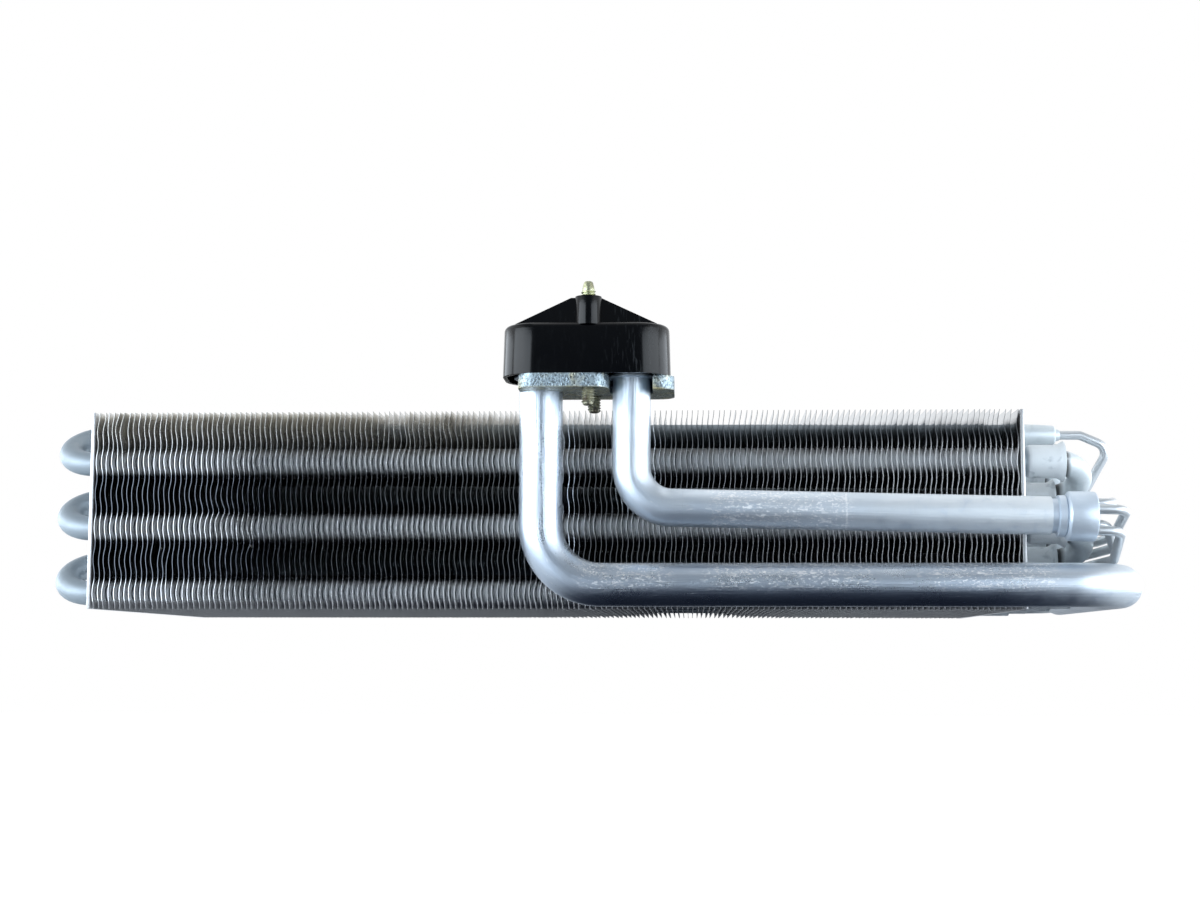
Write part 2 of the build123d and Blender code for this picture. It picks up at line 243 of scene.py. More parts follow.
@dataclass(frozen=True)
class DrawnTube(Finish):
    """Drawn aluminium tube: fine lines along it, dull patches, specks and scratches.

    From a given X on a pale, dull film covers it, brazing residue at the bells and painted sheen at the
    pipes' right ends; scratched holds stretches of X, ring is the X of a scribed ring, and painted shade
    darkens its underside.
    """

    tint: tuple
    lines: float
    specks: float = 0.3
    flux_and_sheen: float = 0.0
    flux_and_sheen_from: float = 0.0
    flux_and_sheen_ramp: float = 0.0
    metal: float = 1.0
    scratched: tuple = ()
    ring: float = 0.0
    painted_underside_shade: float = 0.0

    def paint(self, graph: Graph) -> Wire:
        """Adds the nodes, which read the place along and round the tube.

        Args:
            graph: the material's graph.

        Returns:
            The shader.
        """
        along = graph.node("Attribute", {"attribute_name": "straight"}, {}, "Vector")
        lines = graph.noise(graph.stretched(along, (40, 4200, 4200)), 1, 3)
        cloud = graph.noise(graph.stretched(along, (60, 160, 160)), 1, 4, 0.6)
        grain = graph.noise(along, 1800, 3)
        speck_field = graph.noise(graph.stretched(along, (260, 620, 620)), 1, 3, 0.4)
        specks = speck_field.above(0.66, 0.74) * self.specks
        scratch_field = graph.noise(graph.stretched(along, (900, 110, 110)), 1, 2, 1.2)
        scratches = scratch_field.above(0.7, 0.74) * self.specks
        colour = graph.blend(cloud.above(0.35, 0.7), self.colour, self.tint)
        place = graph.place()
        x = graph.axis(place, 0)
        z = graph.axis(place, 2)
        scuff_field = graph.noise(graph.stretched(along, (900, 1700, 1700)), 1, 2, 0.6)
        scuffs = scuff_field.above(0.57, 0.63) * 0.75 + speck_field.above(0.6, 0.66) * 0.5
        for low, high in self.scratched:
            zone = x.above(low, low + 6 * MM) * x.above(high, high - 6 * MM) * z.above(5 * MM, 8 * MM)
            specks = specks + scuffs * zone
        if self.ring:
            sides = [(self.ring + side * 0.5 * MM, self.ring + side * 0.2 * MM) for side in (LEFT, RIGHT)]
            line = x.above(*sides[0]) * x.above(*sides[1])
            specks = specks + line * grain.above(0.35, 0.6) * 0.7
        colour = graph.blend(specks, colour, (0.92, 0.93, 0.95))
        colour = graph.blend(scratches * 0.3, colour, (0.3, 0.32, 0.35))
        rough = self.roughness + (cloud - 0.5) * 0.22 + (grain - 0.5) * 0.12 + specks * 0.15
        height = lines * self.lines + grain * 0.25 - scratches * 0.8 + cloud * 0.6
        metal = self.metal - specks * 0.7
        # Painted shade: the pipe's underside is darkened to blue-black, standing in for shade and a dark
        # reflection beneath it.
        if self.painted_underside_shade:
            under = z.above(6.5 * MM, 2.5 * MM) * x.above(5 * MM, 25 * MM) * x.above(190 * MM, 150 * MM)
            colour = graph.blend(under * self.painted_underside_shade, colour, (0.07, 0.09, 0.14))
        # A pale, dull film from a given X on: brazing residue at the tubes' bells, and painted sheen that
        # lightens the pipes towards their right ends.
        if self.flux_and_sheen:
            crust = graph.noise(place, 240, 3, 0.4)
            flux_and_sheen_share = x.above(self.flux_and_sheen_from, self.flux_and_sheen_from + self.flux_and_sheen_ramp) * self.flux_and_sheen
            colour = graph.blend(flux_and_sheen_share * crust.above(0.1, 0.45), colour, (0.78, 0.82, 0.84))
            colour = graph.blend(specks * 0.7, colour, (0.94, 0.96, 0.98))
            rough = rough + flux_and_sheen_share * 0.22
            metal = self.metal - flux_and_sheen_share * crust.above(0.3, 0.7) * 0.4
            height = height + flux_and_sheen_share * crust * 1.2
        return graph.surface(colour, metal, rough, graph.bump(height, 0.02 * MM, 0.6))


@dataclass(frozen=True)
class CastGrey(Finish):
    """Dull aluminium round the brazed joints, blotched by brazing residue and heat."""

    stain: tuple
    metal: float
    burnt: float = 0.0
    burnt_from: float = 196 * MM
    burnt_top: float = 64 * MM

    def paint(self, graph: Graph) -> Wire:
        """Adds the nodes, which read the place on the object.

        Args:
            graph: the material's graph.

        Returns:
            The shader.
        """
        place = graph.place()
        cloud = graph.noise(place, 170, 5, 0.8)
        grain = graph.noise(place, 2400, 3)
        colour = graph.blend(cloud.above(0.42, 0.75), self.colour, self.stain)
        x = graph.axis(place, 0)
        z = graph.axis(place, 2)
        ring = x.above(self.burnt_from + 3.2 * MM, self.burnt_from + 1.6 * MM)
        ring = ring * z.above(self.burnt_top, self.burnt_top - 1 * MM) * cloud.above(0.3, 0.45) * self.burnt
        colour = graph.blend(ring, colour, (0.05, 0.045, 0.04))
        rough = self.roughness + (cloud - 0.5) * 0.3 + (grain - 0.5) * 0.15
        return graph.surface(colour, self.metal, rough, graph.bump(grain + cloud * 2, 0.04 * MM, 0.7))


@dataclass(frozen=True)
class FinSheet(Finish):
    """Thin aluminium sheet of the fins, with painted light and shade: a bright, less metallic band with
    shaded edges round each front tube, shade and glints on the front edges, warm top light on the left and
    shade along the bottom.
    """

    shade: tuple
    lit_band: float
    top_glow_tint: tuple = (0.54, 0.5, 0.41)
    front: float = -88 * MM
    lit_band_inner: float = 4.9 * MM
    lit_band_outer: float = 6.8 * MM
    row_pitch: float = 25.4 * MM
    column_y: float = -77 * MM

    def paint(self, graph: Graph) -> Wire:
        """Adds the nodes, which read the place on the object.

        Args:
            graph: the material's graph.

        Returns:
            The shader.
        """
        place = graph.place()
        slow = graph.noise(graph.stretched(place, (18, 10, 30)), 1, 3)
        fine = graph.noise(graph.stretched(place, (700, 120, 260)), 1, 3)
        each = graph.noise(graph.stretched(place, (480, 1, 14)), 1, 1)
        tone = slow * 0.5 + each * 0.5
        colour = graph.blend(tone.above(0.38, 0.62), self.colour, self.shade)
        x = graph.axis(place, 0)
        z = graph.axis(place, 2)
        # Painted light: the top of the left fins is made lighter, warmer and duller, standing in for light
        # from above and its warm reflection between the fins.
        top_glow = z.above(58 * MM, 70 * MM) * x.above(60 * MM, -60 * MM) * (tone.above(0.4, 0.6) * 0.45 + 0.55)
        colour = graph.blend(top_glow * 0.75, colour, self.top_glow_tint)
        y = graph.axis(place, 1)
        from_row = {0: z + self.row_pitch / 4, 1: self.row_pitch}
        off_row = graph.node("Math", {"operation": "FLOORED_MODULO"}, from_row) - self.row_pitch / 2
        off_column = y - self.column_y
        reach = (off_row * off_row + off_column * off_column) ** 0.5
        # Painted light and shade round each front tube: a ring painted bright and less metallic in its middle
        # rows and painted dark above and below them, like a lit round tube between the fins.
        lit_band = reach.above(self.lit_band_outer, self.lit_band_inner)
        band_highlight = (off_row * off_row).above(self.lit_band_inner**2, 1e-6)
        colour = graph.blend(lit_band * (1 - band_highlight), colour, PAINTED_SHADE)
        colour = graph.blend(lit_band * band_highlight, colour, (0.93, 0.96, 0.99))
        # Painted shade: on the left the fins' front edges are darkened, most between the tube rows.
        edge = y.above(self.front + 3 * MM, self.front + 0.5 * MM) * x.above(-30 * MM, -110 * MM)
        between = (off_row * off_row).above(10e-6, 32e-6) * z.above(66 * MM, 60 * MM)
        colour = graph.blend(edge * (between * 0.62 + 0.36), colour, PAINTED_SHADE)
        # Painted highlights: near-white glints on the fins' front edges, in the bands' middles on the left
        # and all along the right.
        bright_side = x.above(20 * MM, 130 * MM) * 0.7
        lit = graph.larger(band_highlight * x.above(-120 * MM, -40 * MM), bright_side)
        edge_glint = y.above(self.front + 3 * MM, self.front + 0.8 * MM) * lit * z.above(66 * MM, 62 * MM)
        colour = graph.blend(edge_glint * 0.8, colour, (0.97, 0.98, 0.99))
        top = z.above(66 * MM, 71 * MM) * x.above(-20 * MM, 60 * MM)
        colour = graph.blend(top * (slow.above(0.35, 0.6) * 0.35 + 0.4), colour, (0.3, 0.31, 0.32))
        # Painted shade: along the bottom the fins are grey and matte, so that they stay dark there.
        lower = z.above(3.5 * MM, 1.5 * MM)
        colour = graph.blend(lower * 0.9, colour, (0.33, 0.33, 0.34))
        rough = self.roughness + (fine - 0.5) * 0.15 + top_glow * 0.2 + lit_band * 0.1 + edge_glint * 0.2 + lower * 0.5
        metal = 1 - lit_band * band_highlight * self.lit_band - top_glow * 0.35 - edge_glint * 0.6 - lower * 0.9
        return graph.surface(colour, metal, rough, graph.bump(fine, 0.05 * MM, 0.5))


@dataclass(frozen=True)
class ZincPlating(Finish):
    """Zinc-plated sheared steel: spangled, pitted on its cut faces, yellowed in patches, with a painted warm
    reflection under the plate.
    """

    yellow: tuple
    pits: float
    speckle: float
    under: float

    def paint(self, graph: Graph) -> Wire:
        """Adds the nodes, which read the place on the object.

        Args:
            graph: the material's graph.

        Returns:
            The shader.
        """
        place = graph.place()
        spangle = graph.node("TexVoronoi", {}, {"Vector": place, "Scale": 1100.0}, "Color")
        flake = graph.node("SeparateColor", {}, {"Color": spangle}, 0)
        rust = graph.noise(place, 150, 4, 0.5)
        pits = graph.noise(graph.stretched(place, (1500, 1500, 1100)), 1, 3, 0.4)
        z = graph.axis(place, 2)
        # Painted warm reflection on the plate's underside: there the colour is pulled towards yellow and made
        # less metallic; on the studs the same code darkens the part below the plate.
        below = z.above(79.3 * MM, 78.7 * MM) * self.under
        colour = graph.blend(rust.above(0.5, 0.7) * 0.7 + below * 0.6, self.colour, self.yellow)
        colour = graph.blend(pits.above(0.48, 0.6) * self.speckle, colour, (0.07, 0.09, 0.1))
        rough = self.roughness + (flake - 0.5) * 0.3 + pits * 0.15
        normal = graph.bump(pits + flake * 0.3, self.pits * MM, 0.6)
        return graph.surface(colour, 0.95 - below * 0.5, rough, normal)


@dataclass(frozen=True)
class MouldedPlastic(Finish):
    """Glossy moulded plastic with faint flow marks, dust and scuffs."""

    scuff: float

    def paint(self, graph: Graph) -> Wire:
        """Adds the nodes, which read the place on the object.

        Args:
            graph: the material's graph.

        Returns:
            The shader.
        """
        place = graph.place()
        flow = graph.noise(graph.stretched(place, (60, 60, 160)), 1, 4, 0.8)
        grain = graph.noise(place, 3000, 2)
        x = graph.axis(place, 0)
        worn = x.above(18 * MM, 38 * MM) * 0.8 + 0.1
        scuffs = graph.noise(graph.stretched(place, (900, 900, 110)), 1, 5, 1.2).above(0.56, 0.7) * worn
        colour = graph.blend(scuffs * self.scuff, self.colour, (0.05, 0.055, 0.06))
        rough = self.roughness + (flow - 0.5) * 0.1 + scuffs * 0.2
        normal = graph.bump(grain * 0.2 + flow, 0.06 * MM, 0.5)
        return graph.surface(colour, 0.0, rough, normal, **{"Specular IOR Level": 0.25})


class Finishes(Enum):
    """The finishes of the object."""

    PIPE = DrawnTube(
        "satin_pipe", (0.63, 0.7, 0.78), 0.3, tint=(0.52, 0.6, 0.7), lines=8.0,
        flux_and_sheen=0.5, flux_and_sheen_from=165 * MM, flux_and_sheen_ramp=45 * MM,
        scratched=tuple(in_mm((10, 48), (56, 122), (136, 186))), painted_underside_shade=0.6,
    )
    LIQUID = DrawnTube(
        "frosted_pipe", (0.68, 0.75, 0.82), 0.34, tint=(0.57, 0.65, 0.74), lines=8.0, metal=0.85,
        flux_and_sheen=0.85, flux_and_sheen_from=60 * MM, flux_and_sheen_ramp=130 * MM,
        scratched=tuple(in_mm((58, 113))), ring=109.3 * MM,
    )
    TUBE = DrawnTube(
        "dull_tube", (0.34, 0.39, 0.43), 0.5, specks=0.12, tint=(0.28, 0.33, 0.37), lines=2.0, metal=0.6,
        flux_and_sheen=0.9, flux_and_sheen_from=182 * MM, flux_and_sheen_ramp=1 * MM,
    )
    FINE_TUBE = DrawnTube(
        "fine_tube", (0.7, 0.73, 0.75), 0.36, specks=0.1, tint=(0.55, 0.58, 0.6), lines=2.0, metal=0.75
    )
    TURNED = DrawnTube(
        "turned_body", (0.66, 0.74, 0.82), 0.42, specks=0.1, tint=(0.56, 0.64, 0.73), lines=3.0, metal=0.55
    )
    JOINT = CastGrey("brazed_joint", (0.7, 0.76, 0.79), 0.46, stain=(0.58, 0.64, 0.67), metal=0.4, burnt=0.9)
    SHEET = CastGrey("end_sheet", (0.74, 0.75, 0.76), 0.36, stain=(0.6, 0.6, 0.6), metal=0.9)
    FINS = FinSheet("fin_sheet", (0.95, 0.95, 0.96), 0.13, shade=(0.82, 0.81, 0.79), lit_band=0.4)
    COLLARS = FinSheet("pressed_collar", (0.95, 0.97, 0.99), 0.45, shade=(0.93, 0.95, 0.98), lit_band=0.95)
    PLATE = ZincPlating(
        "zinc_plate", (0.34, 0.42, 0.47), 0.28, yellow=(0.5, 0.45, 0.25), pits=0.5, speckle=0.75, under=1.0
    )
    STUD = ZincPlating(
        "yellow_zinc", (0.68, 0.7, 0.46), 0.28, yellow=(0.1, 0.08, 0.05), pits=0.05, speckle=0.4, under=1.2
    )
    CAP = MouldedPlastic("black_cap", (0.0004, 0.0006, 0.0012), 0.15, scuff=0.5)


# Meshes


def deselect() -> None:
    """Leaves nothing selected, in object mode."""
    if bpy.context.mode != "OBJECT":
        bpy.ops.object.mode_set(mode="OBJECT")
    bpy.ops.object.select_all(action="DESELECT")


def pick(*pieces: Piece) -> None:
    """Selects only these pieces and makes the first one active."""
    deselect()
    for piece in pieces:
        piece.select_set(True)
    bpy.context.view_layer.objects.active = pieces[0]


def placed(name: str, data: bpy.types.ID) -> Piece:
    """Puts a new object into the scene.

    Args:
        name: the object's name.
        data: its mesh, lamp or camera.

    Returns:
        The object.
    """
    item = bpy.data.objects.new(name, data)
    bpy.context.collection.objects.link(item)
    return item


def baked(piece: Piece) -> Piece:
    """Puts the place, turn and size of the active piece into its mesh."""
    bpy.ops.object.transform_apply(location=True, rotation=True, scale=True)
    return piece


def select_parts(piece: Piece, kind: str, wanted: Callable) -> None:
    """Goes into edit mode with some edges or faces of a piece selected.

    Args:
        piece: the piece.
        kind: EDGE or FACE.
        wanted: tells whether an edge or a face is wanted.
    """
    pick(piece)
    bpy.ops.object.mode_set(mode="EDIT")
    bpy.ops.mesh.select_mode(type=kind)
    bpy.ops.mesh.select_all(action="DESELECT")
    bpy.ops.object.mode_set(mode="OBJECT")
    for part in piece.data.edges if kind == "EDGE" else piece.data.polygons:
        part.select = wanted(part)
    bpy.ops.object.mode_set(mode="EDIT")


def leave_edit() -> None:
    """Goes back to object mode, with points to be selected the next time."""
    bpy.ops.mesh.select_mode(type="VERT")
    bpy.ops.object.mode_set(mode="OBJECT")


def settle(piece: Piece, angle: float = 35) -> Piece:
    """Puts a piece's place into its mesh, turns its faces outwards and smooths it.

    Args:
        piece: the piece.
        angle: the sharpest edge in degrees that is still smoothed.

    Returns:
        The same piece.
    """
    pick(piece)
    baked(piece)
    bpy.ops.object.mode_set(mode="EDIT")
    bpy.ops.mesh.select_all(action="SELECT")
    bpy.ops.mesh.normals_make_consistent(inside=False)
    bpy.ops.object.mode_set(mode="OBJECT")
    bpy.ops.object.shade_smooth_by_angle(angle=radians(angle))
    return piece


def apply_modifier(piece: Piece, kind: str, **settings: object) -> None:
    """Adds one modifier to a piece and applies it.

    Args:
        piece: the piece.
        kind: the modifier's type.
        settings: the modifier's settings.
    """
    pick(piece)
    modifier = piece.modifiers.new(kind.lower(), kind)
    for key, value in settings.items():
        setattr(modifier, key, value)
    bpy.ops.object.modifier_apply(modifier=modifier.name)


def combine(piece: Piece, operation: str, *others: Piece) -> None:
    """Joins other solids to a piece, or cuts them out of it, and removes them.

    Args:
        piece: the piece that stays.
        operation: UNION or DIFFERENCE.
        others: the other solids.
    """
    for other in others:
        apply_modifier(piece, "BOOLEAN", operation=operation, object=other, solver="EXACT")
        bpy.data.objects.remove(other)


def join(pieces: list, name: str) -> Piece:
    """Joins pieces into the first one.

    Args:
        pieces: the pieces, two or more.
        name: the joined piece's name.

    Returns:
        The joined piece.
    """
    pick(*pieces)
    bpy.ops.object.join()
    pieces[0].name = pieces[0].data.name = name
    return pieces[0]


def hand_in(piece: Piece, finish: Finishes, slot: str, *nodes: str) -> None:
    """Dresses a piece and hangs it on the object's body.

    Args:
        piece: the piece.
        finish: its finish.
        slot: the name of a material slot; not used.
        nodes: the solids that it stands for.
    """
    piece.data.materials.clear()
    piece.data.materials.append(finish.value.material())
    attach(piece, "root")
    if nodes:
        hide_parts(*nodes)
    LOG.info("%s: %d faces", piece.name, len(piece.data.polygons))


class Pen:
    """Draws a round piece: an open ring of edges that is moved, turned and resized."""

    def __init__(self, name: str, place: Vector, direction: Vector, radius: float, sides: int) -> None:
        """Starts with one ring.

        Args:
            name: the piece's name.
            place: the ring's middle.
            direction: the way that the piece goes.
            radius: the ring's radius.
            sides: the number of edges in the ring.
        """
        deselect()
        self.place = Vector(place)
        self.direction = Vector(direction).normalized()
        turn = self.direction.to_track_quat("Z", "Y")
        bpy.ops.mesh.primitive_circle_add(
            vertices=sides, radius=radius, fill_type="NOTHING", location=self.place, rotation=turn.to_euler()
        )
        self.piece = bpy.context.active_object
        self.piece.name = name
        self.side = turn @ Vector((1, 0, 0))
        self.radius = radius
        self.run = 0.0
        self.rings = []
        self._note()
        bpy.ops.object.mode_set(mode="EDIT")
        bpy.ops.mesh.select_all(action="SELECT")

    def _note(self) -> None:
        """Keeps where the ring is, for the coordinates along the piece."""
        self.rings.append((self.place.copy(), self.direction.copy(), self.side.copy(), self.run, self.radius))

    def step(self, length: float, radius: float = None) -> "Pen":
        """Extrudes the ring straight on, or back where the length is negative.

        Args:
            length: how far.
            radius: the new radius, if it changes.

        Returns:
            The pen.
        """
        move = self.direction * length
        bpy.ops.mesh.extrude_region_move(TRANSFORM_OT_translate={"value": tuple(move)})
        self.place += move
        self.run += length
        if radius is not None and abs(radius - self.radius) > 1e-7:
            share = radius / self.radius
            bpy.ops.transform.resize(value=(share, share, share), center_override=tuple(self.place))
            self.radius = radius
        self._note()
        return self

    def profile(self, stations: list) -> "Pen":
        """Extrudes through a list of steps.

        Args:
            stations: the length of each step and the radius at its end.

        Returns:
            The pen.
        """
        for length, radius in stations:
            self.step(length, radius)
        return self

    def turn(self, angle: float, bend: float, towards: Vector, steps: int) -> "Pen":
        """Spins the ring round a bend.

        Args:
            angle: how far it turns, in radians.
            bend: the radius of the bend's middle line.
            towards: the side that it turns to.
            steps: the number of steps.

        Returns:
            The pen.
        """
        towards = (towards - self.direction * towards.dot(self.direction)).normalized()
        axis = self.direction.cross(towards)
        centre = self.place + towards * bend
        bpy.ops.mesh.spin(steps=steps, angle=-angle, center=tuple(centre), axis=tuple(axis))
        arm = self.place - centre
        start_side, start_direction, start_run = self.side, self.direction, self.run
        for number in range(1, steps + 1):
            turned = Matrix.Rotation(angle * number / steps, 3, axis)
            self.place = centre + turned @ arm
            self.side = turned @ start_side
            self.direction = turned @ start_direction
            self.run = start_run + bend * angle * number / steps
            self._note()
        return self

    def follow(self, corners: list, bend: float, step_angle: float = 0.2) -> "Pen":
        """Goes from corner to corner, with each corner rounded.

        Args:
            corners: the corners after the present place; the last one is the end.
            bend: the radius of the bends, less where the runs are short.
            step_angle: the largest turn of one step, in radians.

        Returns:
            The pen.
        """
        points = [self.place.copy(), *corners]
        used = 0.0
        for before, at, after in zip(points, points[1:], points[2:]):
            arriving = (at - before).normalized()
            leaving = (after - at).normalized()
            angle = arriving.angle(leaving)
            room = min((at - before).length - used, (after - at).length * 0.5)
            radius = min(bend, 0.98 * room / tan(angle / 2))
            tangent = radius * tan(angle / 2)
            run = (at - tangent * arriving - self.place).dot(self.direction)
            if run > 1e-6:
                self.step(run)
            self.turn(angle, radius, leaving, max(2, round(angle / step_angle)))
            used = tangent
        self.step((points[-1] - self.place).dot(self.direction))
        return self

    def cap(self) -> "Pen":
        """Closes the ring with a face."""
        bpy.ops.mesh.edge_face_add()
        return self

    def done(self, angle: float = 35) -> Piece:
        """Finishes the mesh and writes each point's place as on a straightened piece.

        Args:
            angle: the sharpest edge in degrees that is still smoothed.

        Returns:
            The piece.
        """
        bpy.ops.object.mode_set(mode="OBJECT")
        piece = settle(self.piece, angle)
        write_straight(piece, self.rings)
        return piece


def write_straight(piece: Piece, rings: list) -> None:
    """Gives each point its place on the straightened piece, for patterns along it.

    Args:
        piece: the piece.
        rings: middle, direction, side, run and radius of each ring that was drawn.
    """
    mesh = piece.data
    points = np.empty(len(mesh.vertices) * 3)
    mesh.vertices.foreach_get("co", points)
    points = points.reshape(-1, 3)
    middles = np.array([ring[0] for ring in rings])
    directions = np.array([ring[1] for ring in rings])
    sides = np.array([ring[2] for ring in rings])
    ups = np.cross(directions, sides)
    arms = points[:, None, :] - middles[None]
    off_plane = np.abs((arms * directions).sum(2))
    off_radius = np.abs(np.linalg.norm(arms, axis=2) - np.array([ring[4] for ring in rings]))
    nearest = (off_plane + off_radius).argmin(1)
    arm = arms[np.arange(len(points)), nearest]
    straight = np.stack(
        [
            np.array([ring[3] for ring in rings])[nearest],
            (arm * sides[nearest]).sum(1),
            (arm * ups[nearest]).sum(1),
        ],
        axis=1,
    )
    layer = mesh.attributes.new("straight", "FLOAT_VECTOR", "POINT")
    layer.data.foreach_set("vector", straight.ravel())


# The tube grid, which all of the core's pieces share


@dataclass
class TubeGrid:
    """Where the tubes run."""

    diameter: float = 9.52 * MM
    row_pitch: float = 25.4 * MM
    column_pitch: float = 22 * MM
    rows: int = 3
    circuits: int = 4
    length: float = 360 * MM

    @property
    def radius(self) -> float:
        """Radius of a tube."""
        return self.diameter / 2

    @property
    def depth(self) -> float:
        """Depth of the core."""
        return 2 * self.circuits * self.column_pitch

    @property
    def height(self) -> float:
        """Height of the core."""
        return self.rows * self.row_pitch

    @property
    def front(self) -> float:
        """Y of the core's front face."""
        return -self.depth / 2

    @property
    def bend(self) -> float:
        """Bend radius between neighbouring tubes of two columns."""
        return hypot(self.column_pitch, self.row_pitch / 2) / 2

    def tube(self, column: int, row: int, x: float = 0.0) -> Vector:
        """A point on a tube's middle line.

        Args:
            column: the column, counted from the front.
            row: the row, counted from the bottom.
            x: how far along.

        Returns:
            The point.
        """
        y = self.front + (column + 0.5) * self.column_pitch
        z = (row + 0.25 + 0.5 * (column % 2)) * self.row_pitch
        return Vector((x, y, z))


# The fin stack


@dataclass(frozen=True)
class Dent:
    """A place where the fins' front edges are pushed aside."""

    x: float
    z: float
    width: float
    height: float
    push: float


@dataclass
class FinStack:
    """The wavy fins, one modelled and copied along the tubes."""

    grid: TubeGrid
    count: int = 173
    thickness: float = 0.17 * MM
    span: float = 357 * MM
    waves: int = 6
    swing: float = 0.32 * MM
    steps_per_wave: int = 10
    groups: int = 6
    dents: list = field(default_factory=list)
    seed: int = 7

    def build(self) -> list:
        """Models one fin, copies it along the core and joins the copies in groups.

        Returns:
            The groups.
        """
        rng = np.random.default_rng(self.seed)
        model = self._model()
        base = np.empty(len(model.data.vertices) * 3)
        model.data.vertices.foreach_get("co", base)
        base = base.reshape(-1, 3)
        pitch = self.span / self.count
        groups = []
        edges = np.linspace(0, self.count, self.groups + 1).astype(int)
        for number, (first, last) in enumerate(zip(edges, edges[1:])):
            fins = []
            for index in range(first, last):
                fin = placed(f"fin_{index}", model.data.copy())
                x = -self.span / 2 + (index + 0.5) * pitch
                fin.data.vertices.foreach_set("co", self._shape(base, x, rng).ravel())
                fins.append(fin)
            groups.append(join(fins, f"fins_{number + 1}"))
        bpy.data.objects.remove(model)
        return groups

    def collars(self) -> Piece:
        """Models the collar that spaces one fin from the next, and copies it along the front tubes.

        Returns:
            The collars.
        """
        pitch = self.span / self.count
        start = -self.span / 2 + 0.5 * pitch
        pen = Pen("fin_collars", Vector((start, 0, 0)), Vector((1, 0, 0)), 6.3 * MM, 16)
        pen.profile(in_mm((0.18, 5.9), (0.25, 5.65), (0.35, 5.5)))
        model = pen.step(pitch - 0.95 * MM, 5.45 * MM).done(50)
        model.data.attributes.remove(model.data.attributes["straight"])
        copies = []
        for row in range(self.grid.rows):
            place = self.grid.tube(0, row)
            for index in range(self.count - 1):
                mesh = model.data.copy()
                mesh.transform(Matrix.Translation((index * pitch, place.y, place.z)))
                copies.append(placed("collar", mesh))
        bpy.data.objects.remove(model)
        return join(copies, "fin_collars")

    def _model(self) -> Piece:
        """One straight sheet with the cuts that its waves and dents need.

        Returns:
            The sheet.
        """
        deselect()
        steps = self.waves * self.steps_per_wave
        middle = (0, 0, self.grid.height / 2)
        bpy.ops.mesh.primitive_grid_add(
            x_subdivisions=steps, y_subdivisions=5, size=1, location=middle, rotation=(0, -pi / 2, 0)
        )
        sheet = bpy.context.active_object
        sheet.scale = (self.grid.height, self.grid.depth, 1)
        baked(sheet)
        depth = self.grid.depth
        cuts = {
            -0.3: -0.5 + 3.2 * MM / depth,
            -0.1: -0.5 + 8 * MM / depth,
            0.1: 0.5 - 8 * MM / depth,
            0.3: 0.5 - 3.2 * MM / depth,
        }
        for vertex in sheet.data.vertices:
            share = round(vertex.co.y / depth, 2)
            vertex.co.y = cuts.get(share, share) * depth
            phase = vertex.co.z / self.grid.height * self.waves * 2 * pi
            vertex.co.x = self.swing * self._wave(phase)
        apply_modifier(sheet, "SOLIDIFY", thickness=self.thickness, offset=0)
        return settle(sheet, 40)

    @staticmethod
    def _wave(phase: float) -> float:
        """The shape of a fin's wave, a little fuller than a sine, from -1 to 1."""
        return cos(phase) * (1.12 - 0.12 * cos(2 * phase))

    def _shape(self, base: np.ndarray, x: float, rng: np.random.Generator) -> np.ndarray:
        """Places a copy of the fin and gives it its own small bends.

        Args:
            base: the points of the model.
            x: where the fin stands.
            rng: the source of its small differences.

        Returns:
            The moved points.
        """
        points = base.copy()
        z = points[:, 2]
        loose = 8 * MM
        near_front = np.clip((self.grid.front + loose - points[:, 1]) / loose, 0, 1) ** 1.5
        near_back = np.clip((points[:, 1] + self.grid.front + loose) / loose, 0, 1) ** 1.5
        edge = near_front + near_back
        ripple = np.zeros(len(points))
        for waves in (2, 3, 5, 8):
            size = rng.normal(0, 0.13 * MM / waves**0.5)
            ripple += size * np.sin(2 * pi * (waves * z / self.grid.height + rng.random()))
        points[:, 0] += x + rng.normal(0, 0.08 * MM) + ripple * (0.12 + edge)
        for dent in self.dents:
            share = np.exp(-(((x - dent.x) / dent.width) ** 2) - ((z - dent.z) / dent.height) ** 2)
            points[:, 0] += dent.push * share * near_front
        limit = self.span / 2 - self.thickness
        points[:, 0] = np.clip(points[:, 0], -limit, limit)
        return points


# Tubes of the core


